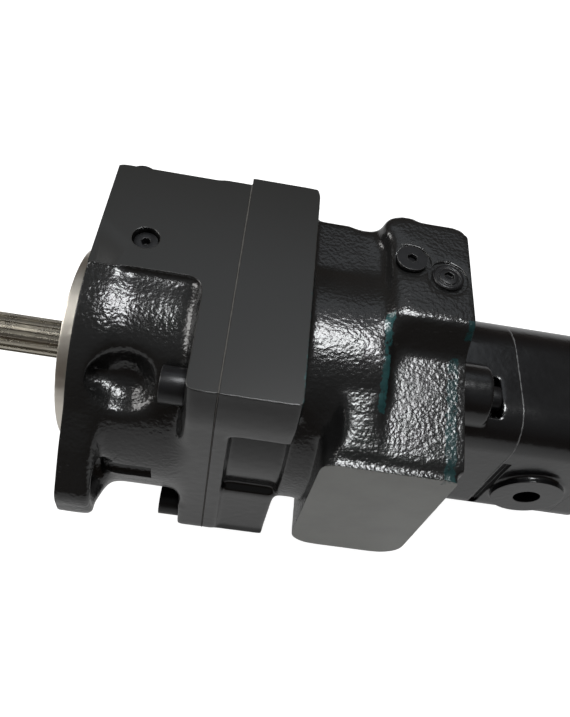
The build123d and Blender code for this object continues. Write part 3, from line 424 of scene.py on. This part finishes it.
for casting_piece, node in ((front_casting, "front_housing"), (rear_casting, "rear_housing")):
    only(casting_piece)
    bpy.ops.object.shade_smooth_by_angle(angle=CREASE_ANGLE)
    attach(casting_piece, "housing")
    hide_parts(node)


# Sand-cast skin under paint: rounded grains about two millimetres wide with finer ones between
cast_skin, skin_in, skin_out = new_group(
    "cast_skin", [("Grain", "NodeSocketFloat", 430.0)],
    [("Height", "NodeSocketFloat"), ("Grain Mask", "NodeSocketFloat")],
)
skin_place = cast_skin.nodes.new("ShaderNodeTexCoord")
coarse = noise(cast_skin, skin_place.outputs["Object"], skin_in.outputs["Grain"], 1.4, 0.45, 0.10)
fine_scale = maths(cast_skin, "MULTIPLY", skin_in.outputs["Grain"], 2.6)
fine = noise(cast_skin, skin_place.outputs["Object"], fine_scale, 1.0, 0.5)
patch = noise(cast_skin, skin_place.outputs["Object"], 38.0, 1.0, 0.5)
lumps = remap(cast_skin, coarse, 0.25, 0.75, smooth=False)
height = maths(cast_skin, "MULTIPLY_ADD", fine, 0.10, lumps)
strength = remap(cast_skin, patch, 0.35, 0.65, 0.65, 1.0)
cast_skin.links.new(maths(cast_skin, "MULTIPLY", height, strength), skin_out.inputs["Height"])
cast_skin.links.new(lumps, skin_out.inputs["Grain Mask"])

# A soft-edged box in the part's own frame, with a ragged outline
ragged_box, ragged_in, ragged_out = new_group(
    "ragged_box",
    [
        ("Centre", "NodeSocketVector", None), ("Half Size", "NodeSocketVector", None),
        ("Ragged", "NodeSocketFloat", 0.002), ("Softness", "NodeSocketFloat", 0.0006),
    ],
    [("Mask", "NodeSocketFloat")],
)
box_place = ragged_box.nodes.new("ShaderNodeTexCoord")
offset = ragged_box.nodes.new("ShaderNodeVectorMath")
offset.operation = "SUBTRACT"
ragged_box.links.new(box_place.outputs["Object"], offset.inputs[0])
ragged_box.links.new(ragged_in.outputs["Centre"], offset.inputs[1])
reach = ragged_box.nodes.new("ShaderNodeVectorMath")
reach.operation = "ABSOLUTE"
ragged_box.links.new(offset.outputs[0], reach.inputs[0])
beyond = ragged_box.nodes.new("ShaderNodeVectorMath")
beyond.operation = "SUBTRACT"
ragged_box.links.new(reach.outputs[0], beyond.inputs[0])
ragged_box.links.new(ragged_in.outputs["Half Size"], beyond.inputs[1])
parts_of = ragged_box.nodes.new("ShaderNodeSeparateXYZ")
ragged_box.links.new(beyond.outputs[0], parts_of.inputs[0])
furthest = maths(ragged_box, "MAXIMUM", parts_of.outputs["Y"], parts_of.outputs["Z"])
furthest = maths(ragged_box, "MAXIMUM", parts_of.outputs["X"], furthest)
box_noise = noise(ragged_box, box_place.outputs["Object"], 260.0, 3.0, 0.6)
ragged_swing = maths(ragged_box, "SUBTRACT", box_noise, 0.5)
ragged_swing = maths(ragged_box, "MULTIPLY", ragged_swing, ragged_in.outputs["Ragged"])
distance = maths(ragged_box, "ADD", furthest, maths(ragged_box, "MULTIPLY", ragged_swing, 2.0))
faded = maths(ragged_box, "DIVIDE", distance, ragged_in.outputs["Softness"])
ragged_box.links.new(maths(ragged_box, "SUBTRACT", 0.5, faded, clamp=True), ragged_out.inputs["Mask"])

# Edges, where paint thins and where a painted highlight is laid: the difference between the surface and its
# rounded self
edge_line, edge_in, edge_out = new_group(
    "edge_line", [("Low", "NodeSocketFloat", 0.02), ("High", "NodeSocketFloat", 0.25)],
    [("Edge", "NodeSocketFloat"), ("Normal", "NodeSocketVector")],
)
rounding = edge_line.nodes.new("ShaderNodeBevel")
rounding.samples = 6
rounding.inputs["Radius"].default_value = 0.0009
flat_face = edge_line.nodes.new("ShaderNodeNewGeometry")
likeness = edge_line.nodes.new("ShaderNodeVectorMath")
likeness.operation = "DOT_PRODUCT"
edge_line.links.new(rounding.outputs[0], likeness.inputs[0])
edge_line.links.new(flat_face.outputs["Normal"], likeness.inputs[1])
turned_away = maths(edge_line, "SUBTRACT", 1.0, likeness.outputs["Value"])
edge_range = edge_line.nodes.new("ShaderNodeMapRange")
edge_line.links.new(turned_away, edge_range.inputs["Value"])
edge_line.links.new(edge_in.outputs["Low"], edge_range.inputs["From Min"])
edge_line.links.new(edge_in.outputs["High"], edge_range.inputs["From Max"])
edge_line.links.new(edge_range.outputs["Result"], edge_out.inputs["Edge"])
edge_line.links.new(rounding.outputs[0], edge_out.inputs["Normal"])

# Cloudy variation of a finish, for its sheen and shade
clouding, cloud_in, cloud_out = new_group(
    "clouding",
    [
        ("Scale", "NodeSocketFloat", 30.0),
        ("Low", "NodeSocketFloat", 0.3), ("High", "NodeSocketFloat", 0.4),
    ],
    [("Value", "NodeSocketFloat"), ("Cloud", "NodeSocketFloat")],
)
cloud_place = clouding.nodes.new("ShaderNodeTexCoord")
cloud = noise(clouding, cloud_place.outputs["Object"], cloud_in.outputs["Scale"], 4.0, 0.6)
cloud_range = clouding.nodes.new("ShaderNodeMapRange")
clouding.links.new(cloud, cloud_range.inputs["Value"])
cloud_range.inputs["From Min"].default_value = 0.3
cloud_range.inputs["From Max"].default_value = 0.7
clouding.links.new(cloud_in.outputs["Low"], cloud_range.inputs["To Min"])
clouding.links.new(cloud_in.outputs["High"], cloud_range.inputs["To Max"])
clouding.links.new(cloud_range.outputs["Result"], cloud_out.inputs["Value"])
clouding.links.new(cloud, cloud_out.inputs["Cloud"])


def place_group(tree, group, **values):
    """One use of a shader group with its own values, whose names have _ for a space."""
    node = tree.nodes.new("ShaderNodeGroup")
    node.node_tree = group
    for label, value in values.items():
        node.inputs[label.replace("_", " ")].default_value = value
    return node


def new_finish(name):
    """A material with its tree and its shader."""
    finish = bpy.data.materials.new(name)
    finish.use_nodes = True
    return finish, finish.node_tree, finish.node_tree.nodes["Principled BSDF"]


def most(tree, masks):
    """The greatest of several masks."""
    result = masks[0]
    for mask in masks[1:]:
        result = maths(tree, "MAXIMUM", result, mask)
    return result


def tint(tree, factor, first, second):
    """Sets a material's base colour to a mix of two colours."""
    blended = blend_colour(tree, factor, first, second)
    tree.links.new(blended, tree.nodes["Principled BSDF"].inputs["Base Color"])


def dress(finish, *names):
    """Give CAD nodes a finish in every one of their material slots."""
    for name in names:
        piece = frame["nodes"][name]
        for material_slot in piece.material_slots:
            material_slot.material = finish
        if not piece.material_slots:
            piece.data.materials.append(finish)


PAINT = (0.0085, 0.0085, 0.0085, 1.0)
PAINT_MILLED = (0.0125, 0.0122, 0.0114, 1.0)
# Pale grey of the side pad: partly a lighter coat, partly painted reflection of the white floor
PAD_COAT_AND_REFLECTION = (0.200, 0.204, 0.188, 1.0)
# Lighter edge colour: partly worn paint, partly painted highlight along the edges
EDGE_WEAR_AND_HIGHLIGHT = (0.10, 0.10, 0.095, 1.0)
RESIDUE = (0.005, 0.022, 0.023, 1.0)
RESIDUE_PALE = (0.015, 0.056, 0.058, 1.0)
BARE_IRON = (0.60, 0.56, 0.50, 1.0)
MILLED_BOXES = {
    "front_housing": [
        ((0.0420, 0.0385, 0.0920), (0.0425, 0.0430, 0.0012)),
        ((0.0700, 0.0000, 0.0920), (0.0200, 0.0900, 0.0012)),
    ],
    "rear_housing": [
        ((0.1070, 0.0015, 0.0920), (0.0250, 0.0900, 0.0012)),
        ((0.1853, -0.0915, -0.0105), (0.0400, 0.0014, 0.0650)),
    ],
}
PAD_FACE = ((0.1853, -0.0915, -0.0105), (0.0450, 0.0012, 0.0700))
SMOOTH_BOXES = {
    "front_housing": [((0.0760, -0.0800, -0.0100), (0.0100, 0.0120, 0.1000))],
    "rear_housing": [((0.1070, -0.0800, -0.0100), (0.0230, 0.0400, 0.1000))],
}
RESIDUE_BANDS = {
    "front_housing": [],
    "rear_housing": [
        ((0.1302, -0.0220, 0.0890), (0.0012, 0.0200, 0.0030)),
        ((0.1295, -0.0600, 0.0850), (0.0010, 0.0220, 0.0060)),
        ((0.1770, -0.0300, 0.0720), (0.0022, 0.0280, 0.0230)),
        ((0.2190, -0.0540, 0.0620), (0.0032, 0.0360, 0.0130)),
        ((0.2255, -0.0060, 0.0860), (0.0024, 0.0040, 0.0060)),
    ],
}

for casting in ("front_housing", "rear_housing"):
    paint, tree, shader = new_finish(f"{casting}_paint")
    links = tree.links
    skin = place_group(tree, cast_skin, Grain=450.0)
    edge = place_group(tree, edge_line, Low=0.02, High=0.30)
    sheen = place_group(tree, clouding, Scale=24.0, Low=0.18, High=0.26)
    mottle = place_group(tree, clouding, Scale=160.0, Low=0.0, High=1.0)
    milled = most(tree, [
        place_group(
            tree, ragged_box, Centre=centre, Half_Size=half, Ragged=0.0, Softness=0.0004,
        ).outputs["Mask"]
        for centre, half in MILLED_BOXES[casting]
    ])
    smooth = milled
    for centre, half in SMOOTH_BOXES[casting]:
        box_mask = place_group(tree, ragged_box, Centre=centre, Half_Size=half, Ragged=0.004, Softness=0.004)
        smooth = maths(tree, "MAXIMUM", smooth, maths(tree, "MULTIPLY", box_mask.outputs["Mask"], 0.88))
    rough_share = maths(tree, "SUBTRACT", 1.0, smooth, clamp=True)
    bump = tree.nodes.new("ShaderNodeBump")
    bump.inputs["Distance"].default_value = 0.00019
    place = tree.nodes.new("ShaderNodeTexCoord")
    where = tree.nodes.new("ShaderNodeSeparateXYZ")
    links.new(place.outputs["Object"], where.inputs[0])
    painted = remap(tree, where.outputs["X"], -0.0006, -0.0002)
    relief = maths(tree, "MULTIPLY", rough_share, painted)
    links.new(maths(tree, "MULTIPLY", skin.outputs["Height"], relief), bump.inputs["Height"])
    links.new(edge.outputs["Normal"], bump.inputs["Normal"])
    links.new(bump.outputs["Normal"], shader.inputs["Normal"])
    # Painted highlight: edges are lightened, most along the milled faces, partly as worn paint and partly in
    # place of the light the edges catch
    edge_wear_and_highlight = maths(tree, "MULTIPLY", edge.outputs["Edge"], remap(tree, mottle.outputs["Cloud"], 0.45, 0.62))
    edge_wear_and_highlight = maths(tree, "MULTIPLY", edge_wear_and_highlight, maths(tree, "ADD", maths(tree, "MULTIPLY", milled, 0.7), 0.15))
    colour = blend_colour(tree, edge_wear_and_highlight, blend_colour(tree, milled, PAINT, PAINT_MILLED), EDGE_WEAR_AND_HIGHLIGHT)
    sheen_value = blend_value(tree, milled, sheen.outputs["Value"], 0.28)
    # Painted reflection: the side pad is pale grey, partly a lighter coat and partly in place of the white
    # floor's reflection in it
    pad_centre, pad_half = PAD_FACE
    pad = place_group(
        tree, ragged_box, Centre=pad_centre, Half_Size=pad_half, Ragged=0.0, Softness=0.0003,
    )
    pad_cloud = remap(tree, sheen.outputs["Cloud"], 0.2, 0.8, 0.8, 1.1)
    pad_coat_and_reflection = maths(tree, "MULTIPLY", pad.outputs["Mask"], pad_cloud)
    colour = blend_colour(tree, pad_coat_and_reflection, colour, PAD_COAT_AND_REFLECTION)
    if RESIDUE_BANDS[casting]:
        residue = most(tree, [
            place_group(
                tree, ragged_box, Centre=centre, Half_Size=half, Ragged=0.0026, Softness=0.0007,
            ).outputs["Mask"]
            for centre, half in RESIDUE_BANDS[casting]
        ])
        residue = maths(tree, "MULTIPLY", residue, remap(tree, mottle.outputs["Cloud"], 0.34, 0.44))
        teal = blend_colour(tree, remap(tree, sheen.outputs["Cloud"], 0.4, 0.6), RESIDUE, RESIDUE_PALE)
        colour = blend_colour(tree, residue, colour, teal)
    else:
        bare = maths(tree, "SUBTRACT", 1.0, painted)
        turned = noise(tree, place.outputs["Object"], 90.0, 2.0)
        iron = blend_colour(tree, turned, BARE_IRON, (0.70, 0.66, 0.59, 1.0))
        colour = blend_colour(tree, bare, colour, iron)
        links.new(bare, shader.inputs["Metallic"])
        sheen_value = blend_value(tree, bare, sheen_value, 0.36)
    links.new(colour, shader.inputs["Base Color"])
    links.new(sheen_value, shader.inputs["Roughness"])
    shader.inputs["Specular IOR Level"].default_value = 0.55
    skinned = {"front_housing": front_casting, "rear_housing": rear_casting}[casting]
    skinned.data.materials.clear()
    skinned.data.materials.append(paint)


# --- Gasket ---------------------------------------------------------------------------
# A fibre gasket cut to the joint, whose edge shows as a fine pale line between the castings.
# The ground dowels that line them up are not dressed here.
fibre, tree, shader = new_finish("gasket_fibre")
fleck = place_group(tree, clouding, Scale=700.0, Low=0.75, High=0.95)
tree.links.new(fleck.outputs["Value"], shader.inputs["Roughness"])
tint(tree, fleck.outputs["Cloud"], (0.03, 0.028, 0.025, 1.0), (0.10, 0.094, 0.085, 1.0))
dress(fibre, "housing_gasket")


# --- Screws, plugs and cap ------------------------------------------------------------
# Black-oxide steel screws and plugs, fitted before the last coat of paint, so that their
# heads carry a thin coat; their edges are painted lighter, partly worn paint and partly painted highlight.
screw_black, tree, shader = new_finish("black_oxide")
edge = place_group(tree, edge_line, Low=0.05, High=0.40)
sheen = place_group(tree, clouding, Scale=220.0, Low=0.26, High=0.42)
# Painted highlight: head edges are lightened, partly as worn paint and partly in place of the light their
# rims catch
edge_wear_and_highlight = maths(tree, "MULTIPLY", edge.outputs["Edge"], sheen.outputs["Cloud"])
tint(tree, edge_wear_and_highlight, (0.012, 0.012, 0.013, 1.0), (0.34, 0.34, 0.34, 1.0))
tree.links.new(sheen.outputs["Value"], shader.inputs["Roughness"])
tree.links.new(edge.outputs["Normal"], shader.inputs["Normal"])
shader.inputs["Metallic"].default_value = 0.4

for node, softness in (
    ("housing_bolts", 0.0016), ("gear_pump_bolts", 0.0010), ("gear_pump_mount_bolts", 0.0010),
    ("drain_plug", 0.0004), ("far_side_plug", 0.0010), ("compensator_cap", 0.0010),
):
    screws = merged_copy(node, f"{node}_turned")
    bpy.ops.object.mode_set(mode="EDIT")
    bpy.ops.mesh.select_all(action="SELECT")
    bpy.ops.mesh.dissolve_limited(angle_limit=radians(1))
    bpy.ops.object.mode_set(mode="OBJECT")
    finish_modifier(
        screws, "BEVEL", width=softness, segments=3, limit_method="ANGLE", angle_limit=radians(50),
    )
    bpy.ops.object.shade_smooth_by_angle(angle=radians(30))
    screws.data.materials.clear()
    screws.data.materials.append(screw_black)
    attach(screws, "housing")
    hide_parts(node)


# --- Gallery plugs --------------------------------------------------------------------
# Two socket plugs with a stepped, domed head, turned from steel bar and screwed down on
# a captive washer in their spot faces.
PLUG_STEPS = [
    (0.0012, 0.0008), (0.0012, 0.0000), (0.0003, -0.0007),
    (0.0008, 0.0000), (0.0003, 0.0009), (0.0009, 0.0003),
]
PLUG_SHANK_R = 0.0068
PLUG_HEAD_FOOT = 0.0030
PLUG_HEAD_TOP = 0.0013
PLUG_SOCKET_FLOOR = 0.0028
PLUG_SOCKET_R = 0.0034

plugs = []
for x, y in plug_places:
    foot = (x, y, plugs_high.z - PLUG_HEAD_FOOT)
    plug = drill((x, y, plugs_low.z), foot, PLUG_SHANK_R)
    head = drill(foot, (x, y, plugs_high.z - PLUG_HEAD_TOP), PLUG_HEAD_R)
    only(head)
    top = max(head.data.polygons, key=lambda face: face.center.z)
    for face in head.data.polygons:
        face.select = face.index == top.index
    bpy.ops.object.mode_set(mode="EDIT")
    bpy.ops.mesh.select_mode(type="FACE")
    for inset, rise in PLUG_STEPS:
        bpy.ops.mesh.inset(thickness=inset)
        bpy.ops.transform.translate(value=(0.0, 0.0, rise))
    bpy.ops.object.mode_set(mode="OBJECT")
    socket_floor = (x, y, plugs_high.z - PLUG_SOCKET_FLOOR)
    machine(head, drill(socket_floor, (x, y, plugs_high.z + CLEAR), PLUG_SOCKET_R, 6))
    plugs += [plug, head]
only(plugs[0])
for part in plugs:
    part.select_set(True)
bpy.ops.object.join()
gallery_plugs = bpy.context.object
gallery_plugs.name = "gallery_plugs_turned"
bpy.ops.object.shade_smooth_by_angle(angle=radians(30))
gallery_plugs.data.materials.clear()
gallery_plugs.data.materials.append(screw_black)
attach(gallery_plugs, "housing")
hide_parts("gallery_plugs")


# --- Gear pump case -------------------------------------------------------------------
# Three aluminium castings in gloss black, machined across their joints. Their edges and a line at the
# edge of the cover are painted lighter, partly as paint rubbed thin and partly as painted highlight.
gloss, tree, shader = new_finish("gear_case_gloss")
skin = place_group(tree, cast_skin, Grain=260.0)
edge = place_group(tree, edge_line, Low=0.03, High=0.35)
sheen = place_group(tree, clouding, Scale=40.0, Low=0.16, High=0.27)
bump = tree.nodes.new("ShaderNodeBump")
bump.inputs["Distance"].default_value = 0.00006
tree.links.new(skin.outputs["Height"], bump.inputs["Height"])
tree.links.new(edge.outputs["Normal"], bump.inputs["Normal"])
tree.links.new(bump.outputs["Normal"], shader.inputs["Normal"])
# Painted highlight: edges are lightened, partly as paint rubbed thin and partly in place of the light they
# catch
edge_wear_and_highlight = maths(tree, "MULTIPLY", edge.outputs["Edge"], remap(tree, sheen.outputs["Cloud"], 0.42, 0.6))
# Painted highlight: a pale line at the cover joint, partly rubbed paint and partly in place of the light its
# edge catches
joint_rub_and_highlight = place_group(
    tree, ragged_box, Centre=(0.2704, 0.0, -0.010), Half_Size=(0.0003, 0.060, 0.070),
    Ragged=0.0006, Softness=0.0004,
)
edge_wear_and_highlight = maths(tree, "MAXIMUM", edge_wear_and_highlight, joint_rub_and_highlight.outputs["Mask"])
tint(tree, edge_wear_and_highlight, (0.005, 0.005, 0.0055, 1.0), (0.14, 0.14, 0.14, 1.0))
tree.links.new(sheen.outputs["Value"], shader.inputs["Roughness"])
shader.inputs["Specular IOR Level"].default_value = 0.6

GEAR_GRID = 0.0011
GEAR_ROUNDS = 6
PORT_DEPTH = 0.028
JOINT_GROOVE = ((0.2712, -0.0600, -0.0520), (0.2765, -0.0500, 0.0140))
port_r = mounts["gear_port_near"]["dims"]["r_mm"] / 1000
port_x, _, port_z = mounts["gear_port_far"]["pos_m"]
for node in ("gear_pump_cover", "gear_pump_body"):
    low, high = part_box(node)
    case = merged_copy(node, f"{node}_cast")
    faces = [(0, low.x, -STOCK), (0, high.x, STOCK)]
    if node == "gear_pump_body":
        faces += [(1, low.y, -STOCK), (1, high.y, STOCK)]
    for axis, level, amount in faces:
        leave_stock(case, axis, level, amount)
    finish_modifier(case, "REMESH", mode="VOXEL", voxel_size=GEAR_GRID, adaptivity=0.0)
    finish_modifier(case, "SMOOTH", factor=0.5, iterations=GEAR_ROUNDS)
    machine(
        case,
        slab((low.x - CLEAR, -0.2, -0.2), (low.x, 0.2, 0.2)),
        slab((high.x, -0.2, -0.2), (high.x + CLEAR, 0.2, 0.2)),
    )
    if node == "gear_pump_body":
        machine(
            case,
            slab((low.x - CLEAR, low.y - CLEAR, -0.2), (high.x + CLEAR, low.y, 0.2)),
            slab((low.x - CLEAR, high.y, -0.2), (high.x + CLEAR, high.y + CLEAR, 0.2)),
            drill((port_x, low.y - CLEAR, port_z), (port_x, low.y + PORT_DEPTH, port_z), port_r),
            drill((port_x, high.y - PORT_DEPTH, port_z), (port_x, high.y + CLEAR, port_z), port_r),
            slab(*JOINT_GROOVE),
        )
    only(case)
    bpy.ops.object.shade_smooth_by_angle(angle=CREASE_ANGLE)
    case.data.materials.clear()
    case.data.materials.append(gloss)
    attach(case, "housing")
    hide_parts(node)
dress(gloss, "gear_pump_end_cover")


# --- Shaft, bearings and other ground steel ---------------------------------------------
# Hardened and ground alloy steel under a film of oil, which yellows the splines.
ground, tree, shader = new_finish("ground_steel")
oil = place_group(tree, clouding, Scale=55.0, Low=0.20, High=0.34)
edge = place_group(tree, edge_line, Low=0.05, High=0.40)
grind = tree.nodes.new("ShaderNodeTexWave")
grind.bands_direction = "X"
grind.inputs["Scale"].default_value = 900.0
grind.inputs["Distortion"].default_value = 1.5
place = tree.nodes.new("ShaderNodeTexCoord")
tree.links.new(place.outputs["Object"], grind.inputs["Vector"])
bump = tree.nodes.new("ShaderNodeBump")
bump.inputs["Distance"].default_value = 0.00001
tree.links.new(grind.outputs["Fac"], bump.inputs["Height"])
tree.links.new(edge.outputs["Normal"], bump.inputs["Normal"])
tree.links.new(bump.outputs["Normal"], shader.inputs["Normal"])
tint(tree, oil.outputs["Cloud"], (0.44, 0.42, 0.37, 1.0), (0.36, 0.32, 0.25, 1.0))
tree.links.new(oil.outputs["Value"], shader.inputs["Roughness"])
shader.inputs["Metallic"].default_value = 1.0
slots = {row["node"]: row["material_slot"] for row in frame["record"]["subparts"]}
dress(ground, *[node for node, name in slots.items() if name == "ground_steel"])


# --- Springs and spring rings -------------------------------------------------------------
# Coils of drawn and blued wire. The return springs and the compensator spring get their own mesh copies;
# how far each would shorten towards its fixed end as its joint moves is worked out, but not applied.
wire_blue, tree, shader = new_finish("spring_wire")
draw = place_group(tree, clouding, Scale=400.0, Low=0.28, High=0.40)
tint(tree, draw.outputs["Cloud"], (0.28, 0.29, 0.32, 1.0), (0.40, 0.40, 0.41, 1.0))
tree.links.new(draw.outputs["Value"], shader.inputs["Roughness"])
shader.inputs["Metallic"].default_value = 1.0
dress(wire_blue, *[node for node, name in slots.items() if name == "spring_steel"])

joints = {joint["name"]: joint for joint in frame["record"]["behaviour"]["joints"]}
swing = radians(joints["swash_tilt"]["range_deg"][1])
wound_low, wound_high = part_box("return_springs")
seat_drop = joints["swash_tilt"]["pos_m"][2] - wound_low.z
return_keep = 1 - seat_drop * sin(swing) / (wound_high.x - wound_low.x)
comp_low, comp_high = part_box("compensator_spring")
comp_keep = 1 - joints["spool_slide"]["range_m"][1] / (comp_high.y - comp_low.y)
for node, joint, axis, anchor, keep in (
    ("return_springs", "swash_tilt", (1, 0, 0), (wound_low.x, 0, 0), return_keep),
    ("compensator_spring", "spool_slide", (0, 1, 0), (comp_low.x, comp_high.y, comp_low.z), comp_keep),
):
    coil = merged_copy(node, f"{node}_wound")
    bpy.ops.object.shade_smooth_by_angle(angle=radians(30))
    coil.data.materials.clear()
    coil.data.materials.append(wire_blue)
    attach(coil, "housing")
    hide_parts(node)
    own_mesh(coil)


# --- Bronze running faces -----------------------------------------------------------------
# Slippers, valve plate and cylinder block are bronze or bronze-faced, lapped where they run.
bronze, tree, shader = new_finish("lapped_bronze")
tarnish = place_group(tree, clouding, Scale=90.0, Low=0.24, High=0.40)
tint(tree, tarnish.outputs["Cloud"], (0.62, 0.44, 0.23, 1.0), (0.50, 0.33, 0.16, 1.0))
tree.links.new(tarnish.outputs["Value"], shader.inputs["Roughness"])
shader.inputs["Metallic"].default_value = 1.0
dress(bronze, *[node for node, name in slots.items() if name == "bronze"])


# --- Aluminium bearing blocks -------------------------------------------------------------
# Pressure-loaded bearing blocks of the gear pump, in machined aluminium.
light_alloy, tree, shader = new_finish("machined_alloy")
swirl = place_group(tree, clouding, Scale=300.0, Low=0.28, High=0.42)
tint(tree, swirl.outputs["Cloud"], (0.66, 0.66, 0.67, 1.0), (0.78, 0.78, 0.78, 1.0))
tree.links.new(swirl.outputs["Value"], shader.inputs["Roughness"])
shader.inputs["Metallic"].default_value = 1.0
dress(light_alloy, *[node for node, name in slots.items() if name == "alloy"])


# --- Shaft seals --------------------------------------------------------------------------
# Moulded rubber lip seals.
lip_rubber, tree, shader = new_finish("seal_rubber")
bloom = place_group(tree, clouding, Scale=350.0, Low=0.55, High=0.75)
tint(tree, bloom.outputs["Cloud"], (0.012, 0.012, 0.012, 1.0), (0.030, 0.030, 0.029, 1.0))
tree.links.new(bloom.outputs["Value"], shader.inputs["Roughness"])
dress(lip_rubber, *[node for node, name in slots.items() if name == "rubber"])
